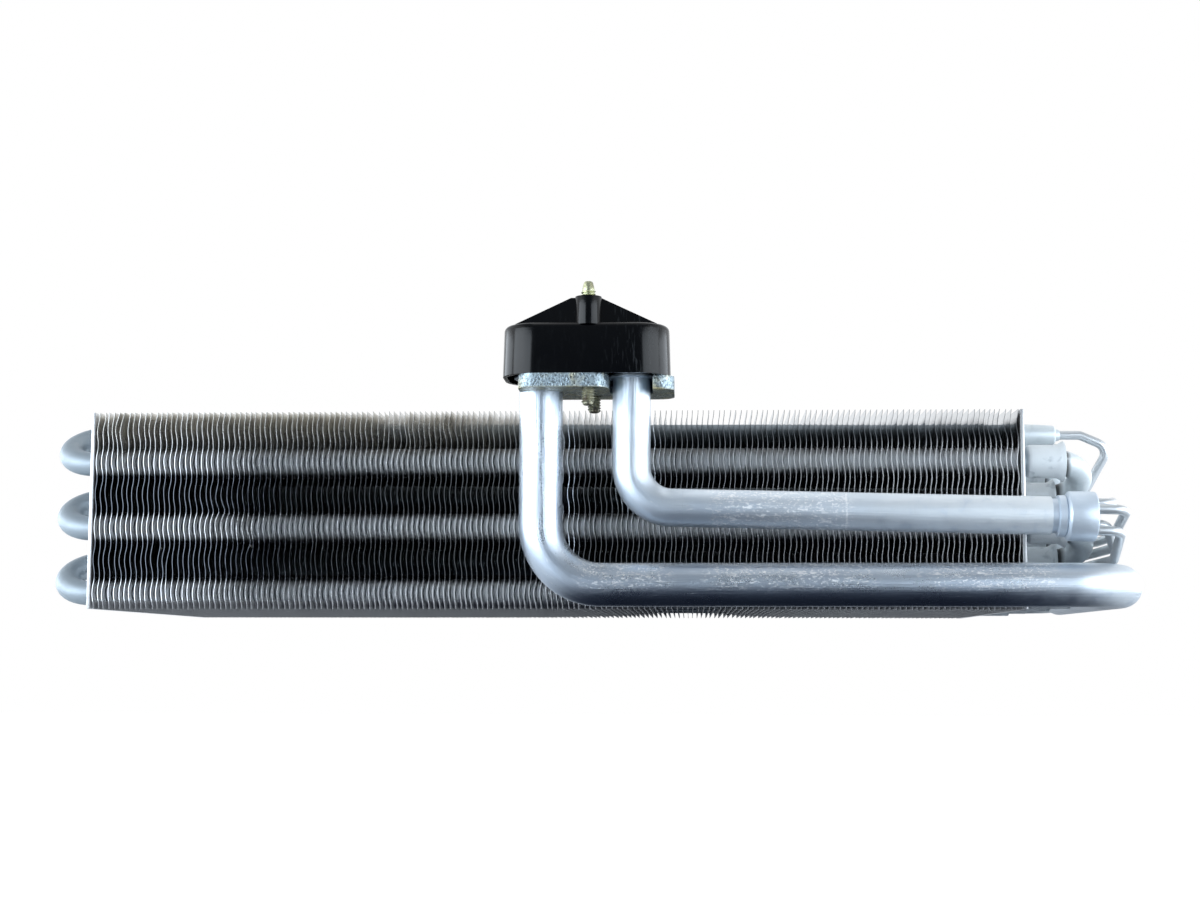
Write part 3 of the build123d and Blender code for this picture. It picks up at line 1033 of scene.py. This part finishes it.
@dataclass
class CoreTubes:
    """Hairpins, return bends, inlet nipples and outlets."""

    grid: TubeGrid
    sides: int = 28
    left_stub: float = 1.5 * MM
    bell_start: float = 1 * MM
    bell_end: float = 196.4 * MM
    bend_depth: float = 4.5 * MM
    leg_depth: float = 8.2 * MM
    header_x: float = 212 * MM
    header_radius: float = 8 * MM

    def bell_profile(self) -> list:
        """The shape of a bell, from the plain tube out to the lip and back into the bore.

        Returns:
            The length of each step and the radius at its end.
        """
        return in_mm(
            (0.5, 5.05), (0.8, 5.75), (0.8, 6.3), (0.8, 6.5), (9.3, 6.5),
            (0.9, 6.65), (0.9, 7.15), (0.7, 7.65), (0.4, 7.85), (0.3, 7.8),
            (0.0, 7.35), (-0.6, 7.0), (-1.6, 6.35), (-1.8, 5.8), (-4.4, 5.1),
        )

    def outlet_profile(self) -> list:
        """The same for the plain bell of a circuit's last tube."""
        return in_mm((0.5, 5.0), (0.7, 5.45), (0.8, 5.8), (13.2, 5.8), (0.2, 5.6), (0.0, 5.2), (-8.2, 4.95))

    def hairpin(self, name: str, column: int, row: int) -> Piece:
        """Draws a hairpin from one right end round the left bend to the other right end.

        Args:
            name: the piece's name.
            column: its front column.
            row: its row.

        Returns:
            The piece.
        """
        grid = self.grid
        right = grid.length / 2 + self.bell_start
        left = -grid.length / 2 - self.left_stub
        near = grid.tube(column, row)
        far = grid.tube(column + 1, row)
        first = self.bell_profile() if row else self.outlet_profile()
        lengths = [step[0] for step in first]
        radii = [grid.radius] + [step[1] for step in first]
        start = right + sum(lengths)
        pen = Pen(name, near + Vector((start, 0, 0)), Vector((-1, 0, 0)), radii[-1], self.sides).cap()
        for length, radius in zip(reversed(lengths), reversed(radii[:-1])):
            pen.step(length, radius)
        pen.step(right - left)
        pen.turn(pi, grid.bend, far - near, 20)
        pen.step(right - left)
        if row < grid.rows - 1:
            pen.profile(self.bell_profile())
        return pen.cap().done()

    def return_bend(self, name: str, column: int, row: int) -> Piece:
        """Draws a return bend, a tube that enters a bell at each end.

        Args:
            name: the piece's name.
            column: its front column.
            row: the row of its upper end.

        Returns:
            The piece.
        """
        grid = self.grid
        near = grid.tube(column, row)
        far = grid.tube(column + 1, row - 1)
        start = self.bell_end - self.leg_depth
        straight = self.leg_depth - self.bend_depth
        radius = grid.radius
        pen = Pen(name, near + Vector((start, 0, 0)), Vector((1, 0, 0)), radius, self.sides).cap()
        pen.step(straight * 0.5).step(straight * 0.5)
        pen.turn(pi, grid.bend, far - near, 24)
        pen.step(straight * 0.5).step(straight * 0.5)
        return pen.cap().done()

    def nipple(self, name: str, circuit: int) -> Piece:
        """Draws an inlet nipple, swaged down to the capillary.

        Args:
            name: the piece's name.
            circuit: the circuit that it feeds.

        Returns:
            The piece.
        """
        right = self.grid.length / 2 + self.bell_start
        start = self.grid.tube(2 * circuit + 1, self.grid.rows - 1, right)
        pen = Pen(name, start, Vector((1, 0, 0)), 4.6 * MM, self.sides).cap()
        pen.profile(in_mm((0.6, 4.5), (8.0, 4.35), (6.6, 3.95), (1.0, 3.7)))
        pen.profile(in_mm((0.5, 3.1), (0.2, 2.45), (1.2, 2.2), (0.4, 1.95)))
        return pen.cap().done()

    def outlet(self, name: str, circuit: int, header_end: float) -> Piece:
        """Draws an outlet tube into the header, the last one bent round to the header's end.

        Args:
            name: the piece's name.
            circuit: the circuit that it drains.
            header_end: Y of the header's closed end.

        Returns:
            The piece.
        """
        grid = self.grid
        start = grid.tube(2 * circuit, 0, self.bell_end - self.leg_depth)
        pen = Pen(name, start, Vector((1, 0, 0)), grid.radius, self.sides).cap()
        if circuit < grid.circuits - 1:
            pen.step(self.header_x - self.header_radius * 0.72 - pen.place.x)
        else:
            corner = Vector((self.header_x, start.y, start.z))
            pen.follow([corner, Vector((self.header_x, header_end, start.z))], grid.bend)
        return pen.cap().done()


@dataclass
class EndSheet:
    """The two sheets that close the stack."""

    grid: TubeGrid
    thickness: float = 1.5 * MM
    clearance: float = 0.12 * MM

    def build(self, name: str, side: int) -> Piece:
        """Models one sheet with its tube holes.

        Args:
            name: the piece's name.
            side: LEFT or RIGHT.

        Returns:
            The sheet.
        """
        grid = self.grid
        deselect()
        middle = side * (grid.length - self.thickness) / 2
        bpy.ops.mesh.primitive_cube_add(size=1, location=(middle, 0, grid.height / 2))
        sheet = bpy.context.active_object
        sheet.scale = (self.thickness, grid.depth, grid.height)
        baked(sheet)
        cutters = []
        for column in range(2 * grid.circuits):
            for row in range(grid.rows):
                deselect()
                bpy.ops.mesh.primitive_cylinder_add(
                    vertices=28,
                    radius=grid.radius + self.clearance,
                    depth=4 * self.thickness,
                    location=grid.tube(column, row, middle),
                    rotation=(0, pi / 2, 0),
                )
                cutters.append(bpy.context.active_object)
        combine(sheet, "DIFFERENCE", join(cutters, "hole_cutter"))
        apply_modifier(sheet, "BEVEL", width=0.2 * MM, segments=2, limit_method="ANGLE")
        sheet.name = name
        return settle(sheet)


# The two pipes with the distributor and its capillaries


@dataclass
class PipeWork:
    """Suction pipe with its header, liquid pipe, distributor and capillary tubes."""

    grid: TubeGrid
    pipe_y: float = -118 * MM
    plate_top: float = 83.8 * MM
    end_height: float = 8 * MM
    suction_radius: float = 8 * MM
    suction_x: float = -2 * MM
    suction_z: float = 8.2 * MM
    suction_bend: float = 22 * MM
    header_x: float = 212 * MM
    header_overrun: float = 8 * MM
    liquid_radius: float = 7 * MM
    pipe_wall: float = 1.2 * MM
    liquid_x: float = 31.4 * MM
    liquid_corner_z: float = 36.7 * MM
    liquid_end: tuple = (183.2 * MM, 33.2 * MM)
    liquid_bend: float = 15 * MM
    capillary_radius: float = 1.8 * MM
    capillary_bend: float = 4.5 * MM
    capillary_spacing: float = 4.4 * MM
    capillary_gap: float = 0.4 * MM
    outlet_circle: float = 5.7 * MM
    outlet_turn: float = 20
    outlet_order: tuple = (1, 2, 0, 3)
    front_capillary_z: float = 40 * MM
    capillary_reach: float = 7.7 * MM
    climb_inset: float = 8 * MM
    climb_setback: float = 30.5 * MM
    climb_lead: float = 14 * MM
    climb_margin: float = 12 * MM
    distributor_length: float = 16.2 * MM
    nipple_end: float = 199.5 * MM
    sides: int = 56

    @property
    def header_end(self) -> float:
        """Y of the header's closed end."""
        return self.grid.tube(2 * (self.grid.circuits - 2), 0).y + self.header_overrun

    @property
    def liquid_way(self) -> Vector:
        """The way that the liquid pipe runs along the front."""
        x, z = self.liquid_end
        return Vector((x - self.liquid_x, 0, z - self.liquid_corner_z)).normalized()

    def _pipe_top(self, name: str, x: float, radius: float) -> Pen:
        """Draws a pipe's open end and its bead, down to the clamp plate.

        Args:
            name: the piece's name.
            x: where the pipe comes down.
            radius: its radius.

        Returns:
            The pen, just under the bead.
        """
        bore = radius - self.pipe_wall
        place = Vector((x, self.pipe_y, self.plate_top + self.end_height - 24 * MM))
        pen = Pen(name, place, Vector((0, 0, -1)), bore, self.sides).cap()
        pen.step(-23.6 * MM, bore).step(-0.4 * MM, bore + 0.3 * MM)
        pen.step(0.0, radius - 0.5 * MM).step(0.5 * MM, radius)
        pen.step(self.end_height - 2.3 * MM, radius)
        for length, bead in in_mm((0.3, 1.4), (0.5, 2), (0.7, 2), (0.2, 1.6), (0.1, 0)):
            pen.step(length, radius + bead)
        return pen

    def suction_pipe(self) -> Piece:
        """Draws the suction pipe down, along the front and back along the right end.

        Returns:
            The piece.
        """
        pen = self._pipe_top("suction_line", self.suction_x, self.suction_radius)
        header_end = self.header_end - 2.5 * MM
        ends = [(self.suction_x, self.pipe_y), (self.header_x, self.pipe_y), (self.header_x, header_end)]
        pen.follow([Vector((*end, self.suction_z)) for end in ends], self.suction_bend, 0.09)
        for length, share in ((0.9, 0.98), (0.8, 0.88), (0.5, 0.7), (0.3, 0.4)):
            pen.step(length * MM, self.suction_radius * share)
        return pen.cap().done()

    def liquid_pipe(self) -> Piece:
        """Draws the liquid pipe down and along the front to the distributor.

        Returns:
            The piece.
        """
        pen = self._pipe_top("liquid_line", self.liquid_x, self.liquid_radius)
        x, z = self.liquid_end
        corners = [
            Vector((self.liquid_x, self.pipe_y, self.liquid_corner_z)),
            Vector((x, self.pipe_y, z)),
        ]
        pen.follow(corners, self.liquid_bend, 0.09)
        return pen.cap().done()

    def distributor(self) -> Piece:
        """Draws the turned distributor with its groove, ring and rounded body.

        Returns:
            The piece.
        """
        x, z = self.liquid_end
        start = Vector((x, self.pipe_y, z))
        pen = Pen("distributor_body", start, self.liquid_way, 6.1 * MM, self.sides).cap()
        pen.profile(in_mm((0.2, 6.3), (2.0, 6.3), (0.15, 6.9), (0.25, 7.5), (2.3, 7.6)))
        pen.profile(in_mm((0.3, 7.4), (0.15, 7.1), (0.15, 7.9), (0.6, 8.8), (0.5, 9.05)))
        pen.profile(in_mm((8.7, 9.1), (0.5, 8.9), (0.3, 8.4), (0.1, 7.8)))
        return pen.cap().done(30)

    def capillary(self, circuit: int) -> Piece:
        """Draws a capillary from the distributor round to its nipple.

        Args:
            circuit: the circuit that it feeds.

        Returns:
            The piece.
        """
        grid = self.grid
        way = self.liquid_way
        x, z = self.liquid_end
        angle = radians(self.outlet_turn + 90 * self.outlet_order[circuit] - 45)
        up = Vector((-way.z, 0, way.x))
        start = Vector((x, self.pipe_y, z)) + way * self.distributor_length
        back = Vector((0, 1, 0))
        start += back * (self.outlet_circle * cos(angle)) + up * (self.outlet_circle * sin(angle))
        nipple = grid.tube(2 * circuit + 1, grid.rows - 1, self.nipple_end)
        low = self.suction_z + self.suction_radius + self.capillary_radius + self.capillary_gap
        low += (grid.circuits - 1 - circuit) * self.capillary_spacing
        reach = self.capillary_reach - 0.5 * (start.y - self.pipe_y)
        if circuit:
            climb_x, climb_y = self.header_x - self.climb_inset, nipple.y - self.climb_setback
            turns = [(self.header_x + 1 * MM, climb_y - self.climb_lead, low), (climb_x, climb_y, low)]
            turns.append((climb_x, climb_y, nipple.z - self.climb_margin))
        else:
            low = self.front_capillary_z
            turns = [(self.header_x - 6 * MM, grid.front + 40.5 * MM, low)]
            turns.append((self.header_x + 7 * MM, nipple.y, nipple.z - 5 * MM))
        turns.insert(0, (self.header_x - 1 * MM, grid.front - 6 * MM, low))
        middle = [Vector(turn) for turn in turns]
        corners = [start + way * reach, *middle, nipple + Vector((8 * MM, 0, 0)), nipple]
        pen = Pen(f"capillary_line_{circuit + 1}", start, way, self.capillary_radius, 16).cap()
        pen.follow(corners, self.capillary_bend, 0.22)
        return pen.cap().done()


# The clamp plate, its studs and the cap


@dataclass
class ClampSet:
    """Sheared clamp plate, two studs and the moulded cap."""

    pipe_y: float = -118 * MM
    plate_bottom: float = 78.8 * MM
    plate_thickness: float = 5 * MM
    front: float = -136 * MM
    back: float = -100 * MM
    left: float = -9.5 * MM
    right: float = 47.2 * MM
    corner: float = 6 * MM
    suction_x: float = -2 * MM
    suction_hole: float = 8.2 * MM
    slot_x: float = 31.4 * MM
    slot_radius: float = 8 * MM
    horn_setback: float = 6 * MM
    studs: tuple = ((16.1 * MM, -131.5 * MM, 45.5 * MM), (17.2 * MM, -109.5 * MM, 28 * MM))
    stud_below: float = 6.3 * MM
    stud_radius: float = 2.45 * MM
    shank_radius: float = 2.7 * MM
    thread_pitch: float = 1.0 * MM
    cap_left: float = -15.7 * MM
    cap_length: float = 61.6 * MM
    cap_corner: float = 13 * MM
    cap_wall: float = 1.6 * MM
    cap_wall_height: float = 18.8 * MM
    roof_height: float = 9.6 * MM
    roof_shoulder: float = 5.0 * MM
    ridge_length: float = 10.8 * MM
    rim: float = 2.0 * MM
    draft: float = 0.5 * MM
    roof_inset: float = 5.5 * MM
    boss_radius: float = 4.85 * MM

    def _cylinder(self, x: float, y: float, radius: float, low: float, high: float) -> Piece:
        """Adds an upright cylinder, for a cut or a boss.

        Args:
            x: X of its middle.
            y: Y of its middle.
            radius: its radius.
            low: its lower end.
            high: its upper end.

        Returns:
            The cylinder.
        """
        deselect()
        middle = (x, y, (low + high) / 2)
        bpy.ops.mesh.primitive_cylinder_add(vertices=40, radius=radius, depth=high - low, location=middle)
        return bpy.context.active_object

    def _block(self, low: tuple, high: tuple) -> Piece:
        """Adds a block between two corners.

        Args:
            low: its lowest corner.
            high: its highest corner.

        Returns:
            The block.
        """
        deselect()
        middle = [(a + b) / 2 for a, b in zip(low, high)]
        bpy.ops.mesh.primitive_cube_add(size=1, location=middle)
        block = bpy.context.active_object
        block.scale = [b - a for a, b in zip(low, high)]
        return baked(block)

    def _round_corners(self, block: Piece, radius: float, places: list) -> None:
        """Rounds the upright edges of a block that stand at some of its corners.

        Args:
            block: the block.
            radius: the rounding's radius.
            places: X and Y of each edge.
        """

        def stands_there(edge: bpy.types.MeshEdge) -> bool:
            """Tells whether an edge is to be rounded.

            Args:
                edge: an edge of the block.

            Returns:
                Whether it is upright and at one of the places.
            """
            first, second = (block.data.vertices[index].co for index in edge.vertices)
            there = any((first.xy - Vector(place)).length < 0.5 * MM for place in places)
            return there and (first - second).xy.length < 1e-6

        select_parts(block, "EDGE", stands_there)
        bpy.ops.mesh.bevel(offset=radius, segments=14, profile=0.5, affect="EDGES")
        leave_edit()

    def plate(self) -> Piece:
        """Models the clamp plate with its hole and open slot.

        Returns:
            The plate.
        """
        low, high = self.plate_bottom, self.plate_bottom + self.plate_thickness
        margin = 2 * MM
        horn_front = self.front + self.horn_setback
        slot_left = self.slot_x - self.slot_radius
        blank = self._block((self.left, self.front, low), (slot_left, self.back, high))
        corners = [(self.left, self.front), (self.left, self.back), (slot_left, self.front)]
        self._round_corners(blank, self.corner, corners)
        horn = self._block((slot_left - 9 * MM, horn_front, low), (self.right, self.back, high))
        self._round_corners(horn, self.corner, [(self.right, horn_front), (self.right, self.back)])
        combine(blank, "UNION", horn)
        under, over = low - margin, high + margin
        slot_end = (self.slot_x + self.slot_radius, self.pipe_y, over)
        cuts = [
            self._cylinder(self.suction_x, self.pipe_y, self.suction_hole, under, over),
            self._cylinder(self.slot_x, self.pipe_y, self.slot_radius, under, over),
            self._block((slot_left, self.front - margin, under), slot_end),
        ]
        combine(blank, "DIFFERENCE", *cuts)
        apply_modifier(blank, "BEVEL", width=0.45 * MM, segments=3, limit_method="ANGLE")
        blank.name = "clamp_bar"
        return settle(blank, 30)

    def stud(self, name: str, x: float, y: float, length: float) -> Piece:
        """Models a stud: a thin thread under the plate, a thicker one over it and a rounded tip.

        Args:
            name: the piece's name.
            x: its middle.
            y: its middle.
            length: its length.

        Returns:
            The stud.
        """
        mm = MM
        depth = 0.45 * mm
        low, high = self.stud_radius - depth, self.shank_radius - depth
        bottom = self.plate_bottom - self.stud_below
        over = length - self.stud_below - self.plate_thickness
        pen = Pen(name, Vector((x, y, bottom)), Vector((0, 0, 1)), 1.5 * mm, 24).cap()
        pen.profile([(0.4 * mm, low), (self.stud_below - 0.4 * mm, low), (0.0, self.shank_radius)])
        pen.profile([(self.plate_thickness, self.shank_radius), (0.0, high)])
        pen.step(over - 3.4 * mm, high).step(0.4 * mm, high)
        rod = pen.profile(in_mm((1.2, 2.0), (1.0, 1.75), (0.6, 1.45), (0.2, 1.0))).cap().done(30)
        below = self._thread(x, y, bottom + 0.3 * mm, self.stud_below - 0.3 * mm, self.stud_radius)
        top = self.plate_bottom + self.plate_thickness
        above = self._thread(x, y, top, over - 3.0 * mm, self.shank_radius)
        return join([rod, below, above], name)

    def _thread(self, x: float, y: float, low: float, length: float, crest: float) -> Piece:
        """Models a stretch of thread with the Screw modifier.

        Args:
            x: its middle.
            y: its middle.
            low: its lower end.
            length: its length.
            crest: its outer radius.

        Returns:
            The thread.
        """
        deselect()
        pitch = self.thread_pitch
        turns = max(1, int(length / pitch) - 1)
        root = crest - 0.5 * MM
        outline = [(root, 0), (crest, 0.42 * pitch), (crest, 0.56 * pitch), (root, 0.98 * pitch)]
        mesh = bpy.data.meshes.new("thread")
        mesh.from_pydata([(radius, 0, height) for radius, height in outline], [(0, 1), (1, 2), (2, 3)], [])
        thread = placed("thread", mesh)
        thread.location = (x, y, low)
        settings = {"screw_offset": pitch, "iterations": turns, "steps": 24, "render_steps": 24}
        apply_modifier(thread, "SCREW", use_merge_vertices=True, use_normal_calculate=True, **settings)
        return settle(thread, 30)

    def _shell(self, low: float, high: float, inset: float, corner: float) -> Piece:
        """Models the block that the cap's upright walls, or the room in them, fill.

        Args:
            low: its lower edge.
            high: its top.
            inset: how far it lies inside the cap's outline.
            corner: its corner radius.

        Returns:
            The block.
        """
        left, right = self.cap_left + inset, self.cap_left + self.cap_length - inset
        front, back = self.front + inset, self.back - inset
        block = self._block((left, front, low), (right, back, high))
        corners = [(left, front), (left, back), (right, front), (right, back)]
        self._round_corners(block, corner, corners)
        return block

    def _round_rim(self, walls: Piece, high: float) -> None:
        """Rounds the cap's upper rim and draws the walls in a little towards it, as moulded.

        Args:
            walls: the cap's walls.
            high: their top.
        """
        middle = Vector((self.cap_left + self.cap_length / 2, (self.front + self.back) / 2))
        half = Vector((self.cap_length / 2, (self.back - self.front) / 2))
        points = walls.data.vertices
        rim = {point.index for point in points if point.co.z > high - 0.1 * MM}
        for index in rim:
            place = points[index].co
            place.x += (middle.x - place.x) / half.x * self.draft
            place.y += (middle.y - place.y) / half.y * self.draft
        select_parts(walls, "EDGE", lambda edge: rim.issuperset(edge.vertices))
        bpy.ops.mesh.bevel(offset=self.rim, segments=6, profile=0.5, affect="EDGES")
        leave_edit()

    def _roof(self, inset: float, low: float) -> Piece:
        """Models the sloping roof.

        Args:
            inset: how far it lies inside the outer roof.
            low: its lower edge.

        Returns:
            The roof.
        """
        shoulder = self.roof_shoulder + inset
        left, right = self.cap_left + shoulder, self.cap_left + self.cap_length - shoulder
        front, back = self.front + self.roof_inset + inset, self.back - self.roof_inset - inset
        base = self.plate_bottom + self.plate_thickness + self.cap_wall_height
        roof = self._block((left, front, low), (right, back, base))
        select_parts(roof, "FACE", lambda face: face.normal.z > 0.9)
        rise = self.roof_height - inset
        bpy.ops.mesh.extrude_region_move(TRANSFORM_OT_translate={"value": (0, 0, rise)})
        ridge = self.ridge_length / (right - left)
        middle = ((left + right) / 2, (front + back) / 2, base + rise)
        bpy.ops.transform.resize(value=(ridge, 1, 1), center_override=middle)
        leave_edit()
        return roof

    def cap(self) -> Piece:
        """Models the moulded cap: hollow walls, sloping roof and the stud's boss.

        Returns:
            The cap.
        """
        base = self.plate_bottom + self.plate_thickness
        top = base + self.cap_wall_height
        stud_x, stud_y, _ = self.studs[0]
        walls = self._shell(base, top, 0, self.cap_corner)
        self._round_rim(walls, top)
        roof = self._roof(0, top - 3 * MM)
        boss = self._cylinder(stud_x, stud_y, self.boss_radius, top - 0.8 * MM, top + self.roof_height)
        combine(walls, "UNION", roof, boss)
        wall = self.cap_wall
        hollow = self._shell(base - 1 * MM, top - wall, wall, self.cap_corner - wall)
        inner_roof = self._roof(wall, top - 3 * MM)
        bore = self._cylinder(stud_x, stud_y, self.shank_radius + 0.12 * MM, base, top + 12 * MM)
        combine(walls, "DIFFERENCE", hollow, inner_roof, bore)
        edges = {"limit_method": "ANGLE", "angle_limit": radians(28)}
        apply_modifier(walls, "BEVEL", width=0.9 * MM, segments=3, **edges)
        walls.name = "cap_shell"
        return settle(walls, 32)


# The studio


@dataclass
class Studio:
    """Camera, lamps, floor and backdrop."""

    focal_px: float = 1873.0
    image_px: float = 1200.0
    place: tuple = (52.3 * MM, -802.5 * MM, -17 * MM)
    yaw: float = 2.72
    pitch: float = 6.22
    roll: float = -0.12
    floor_z: float = -0.14

    def camera(self) -> None:
        """Sets the camera up as the photograph was taken."""
        data = bpy.data.cameras.new("camera")
        data.sensor_width = 36
        data.lens = self.focal_px / self.image_px * data.sensor_width
        data.clip_start = 0.01
        data.clip_end = 50
        camera = placed("camera", data)
        turn = (
            Matrix.Rotation(radians(self.yaw), 4, "Z")
            @ Matrix.Rotation(radians(self.pitch), 4, "X")
            @ Matrix.Rotation(radians(self.roll), 4, "Y")
            @ Matrix.Rotation(pi / 2, 4, "X")
        )
        camera.matrix_world = Matrix.Translation(self.place) @ turn
        bpy.context.scene.camera = camera

    def lamp(self, name: str, place: tuple, aim: tuple, size: tuple, power: float, colour: tuple) -> None:
        """Adds a soft box.

        Args:
            name: the lamp's name.
            place: where it hangs.
            aim: the point that it faces.
            size: its width and height.
            power: its power in watts.
            colour: its colour.
        """
        data = bpy.data.lights.new(name, "AREA")
        data.shape = "RECTANGLE"
        data.size, data.size_y = size
        data.energy = power
        data.color = colour
        lamp = placed(name, data)
        way = Vector(aim) - Vector(place)
        lamp.matrix_world = Matrix.Translation(place) @ way.to_track_quat("-Z", "Y").to_matrix().to_4x4()

    def lamps(self) -> None:
        """Hangs the soft boxes: two at each side and a weak one over the core."""
        white = (1.0, 1.0, 1.0)
        cool = (0.82, 0.91, 1.0)
        self.lamp("left_box", (-0.66, -0.62, 0.14), (0, -0.1, 0.06), (1.0, 0.5), 7.5, cool)
        self.lamp("right_box", (0.74, -0.6, 0.14), (0, -0.1, 0.06), (0.95, 0.5), 5.2, cool)
        self.lamp("left_far_box", (-1.0, 0.3, 0.14), (0, -0.1, 0.06), (0.9, 0.46), 4.0, cool)
        self.lamp("right_far_box", (1.05, 0.25, 0.14), (0.1, -0.1, 0.04), (0.9, 0.46), 4.0, cool)
        self.lamp("top_box", (0.12, 0.0, 1.0), (0, 0.0, 0.05), (1.1, 0.7), 1.5, white)

    def world(self) -> None:
        """Makes the surroundings: white behind and at the sides, dimmer over, in front and below."""
        world = bpy.data.worlds.new("studio_air")
        world.use_nodes = True
        bpy.context.scene.world = world
        graph = Graph(world.node_tree)
        way = graph.node("TexCoord", {}, {}, "Generated")
        x, y, z = (graph.axis(way, number) for number in range(3))
        sides = (x * x).above(0.2, 0.6) * z.above(-0.35, 0.1) * 1.4
        back = y.above(0.0, 0.6) * z.above(-0.5, 0.0) * 1.0
        plain = z.above(-1.0, 1.0) ** 1.2 * 0.42 + 0.005
        level = graph.larger(graph.larger(sides, back), plain)
        tint = graph.blend(level.above(0.0, 0.5), (0.62, 0.8, 1.0), (0.94, 0.97, 1.0))
        air = graph.node("Background", {}, {"Color": tint, "Strength": level})
        white = graph.node("Background", {}, {"Color": (1, 1, 1, 1), "Strength": 1.0})
        seen = graph.node("LightPath", {}, {}, "Is Camera Ray")
        graph.show("World", graph.node("MixShader", {}, {0: seen, 1: air, 2: white}))

    def floor(self) -> None:
        """Lays the pale floor, which is white to the camera but for the object's shadow."""
        deselect()
        bpy.ops.mesh.primitive_plane_add(size=6, location=(0, 0, self.floor_z))
        floor = bpy.context.active_object
        floor.name = "studio_floor"
        material = bpy.data.materials.new("pale_floor")
        material.use_nodes = True
        graph = Graph(material.node_tree)
        place = graph.place()
        x = graph.axis(place, 0)
        y = graph.axis(place, 1)
        beside = graph.larger(x.above(0.25, 0.42), x.above(-0.06, -0.2))
        away = graph.larger(beside, y.above(0.15, 0.5))
        tone = graph.blend(away, (0.02, 0.025, 0.04), (0.7, 0.72, 0.75))
        cloth = graph.node("BsdfDiffuse", {}, {"Color": tone})
        sheen = graph.node("Emission", {}, {"Color": (0.85, 0.93, 1, 1), "Strength": 0.8})
        dull = graph.node("MixShader", {}, {0: away * 0.5, 1: cloth, 2: sheen})
        pale = graph.node("BsdfDiffuse", {}, {"Color": (0.9, 0.9, 0.9, 1)})
        glow = graph.node("Emission", {}, {"Color": (1, 1, 1, 1), "Strength": 1.3})
        bright = graph.node("MixShader", {}, {0: 0.75, 1: pale, 2: glow})
        seen = graph.node("LightPath", {}, {}, "Is Camera Ray")
        graph.show("Material", graph.node("MixShader", {}, {0: seen, 1: dull, 2: bright}))
        floor.data.materials.append(material)

    def build(self) -> None:
        """Sets up the whole studio."""
        self.camera()
        self.lamps()
        self.world()
        self.floor()
        bpy.context.scene.view_settings.view_transform = "Standard"


# The whole object


class EvaporatorCore:
    """Builds and dresses every piece of the object."""

    def __init__(self) -> None:
        """Makes the sub-assemblies, all on one tube grid."""
        self.grid = TubeGrid()
        self.fins = FinStack(self.grid, dents=self._dents())
        self.tubes = CoreTubes(self.grid)
        self.sheets = EndSheet(self.grid)
        self.pipes = PipeWork(self.grid)
        self.clamp = ClampSet()

    @staticmethod
    def _dents() -> list:
        """The dents that show on the front of the core.

        Returns:
            The dents.
        """
        sizes = in_mm(
            (-176, 73, 1.6, 4, 1.1), (-168, 68, 2.4, 7, -1.5), (-66, 71, 3.4, 6, 1.5), (-59, 66, 3.0, 6, 1.3),
            (-40, 72, 2.4, 5, -0.9), (-152, 22, 1.3, 7, 1.0), (-148.5, 14, 1.3, 6, -0.9),
            (-129, 37.5, 8, 2.2, 0.8), (-118, 26, 1.4, 3, 0.8), (171, 73, 4, 6, -1.3),
        )
        return [Dent(*row) for row in sizes]

    def build(self) -> None:
        """Builds all of the pieces in order."""
        for number, group in enumerate(self.fins.build()):
            nodes = ("fin_pack",) if number == 0 else ()
            hand_in(group, Finishes.FINS, "fins", *nodes)
        hand_in(self.fins.collars(), Finishes.COLLARS, "fins")
        for side, word in ((LEFT, "left"), (RIGHT, "right")):
            sheet = self.sheets.build(f"end_sheet_{word}", side)
            hand_in(sheet, Finishes.SHEET, "end_plates", f"end_plate_{word}")
        for circuit, letter in enumerate("abcd"):
            self._circuit(circuit, letter)
        pipes = self.pipes
        hand_in(pipes.suction_pipe(), Finishes.PIPE, "pipes", "suction_pipe")
        hand_in(pipes.liquid_pipe(), Finishes.LIQUID, "pipes", "liquid_pipe")
        hand_in(pipes.distributor(), Finishes.TURNED, "distributor", "distributor")
        clamp = self.clamp
        hand_in(clamp.plate(), Finishes.PLATE, "plate", "clamp_plate")
        for word, sizes in zip(("front", "rear"), clamp.studs):
            stud = clamp.stud(f"threaded_stud_{word}", *sizes)
            hand_in(stud, Finishes.STUD, "studs", f"{word}_stud")
        hand_in(clamp.cap(), Finishes.CAP, "cap", "protective_cap")

    def _circuit(self, circuit: int, letter: str) -> None:
        """Builds the tubes of one circuit.

        Args:
            circuit: the circuit's number, from the front.
            letter: its letter in the nodes' names.
        """
        tubes = self.tubes
        column = 2 * circuit
        for row in range(self.grid.rows):
            number = self.grid.rows - row
            hairpin = tubes.hairpin(f"long_tube_{letter}{number}", column, row)
            hand_in(hairpin, Finishes.TUBE, "tubes", f"hairpin_{letter}{number}")
            if row:
                bend = tubes.return_bend(f"end_bend_{letter}{number}", column, row)
                hand_in(bend, Finishes.JOINT, "bends", f"return_bend_{letter}{number}")
        nipple = tubes.nipple(f"nipple_{letter}", circuit)
        hand_in(nipple, Finishes.JOINT, "nipples", f"inlet_nipple_{letter}")
        outlet = tubes.outlet(f"outlet_{letter}", circuit, self.pipes.header_end)
        hand_in(outlet, Finishes.JOINT, "bends", f"outlet_tube_{letter}")
        capillary = self.pipes.capillary(circuit)
        hand_in(capillary, Finishes.FINE_TUBE, "capillaries", f"capillary_{letter}")


def main() -> None:
    """Loads the frame, builds the object and sets up the studio."""
    logging.basicConfig(level=logging.INFO, format="%(name)s: %(message)s")
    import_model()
    EvaporatorCore().build()
    Studio().build()


if __name__ == "__main__":
    main()
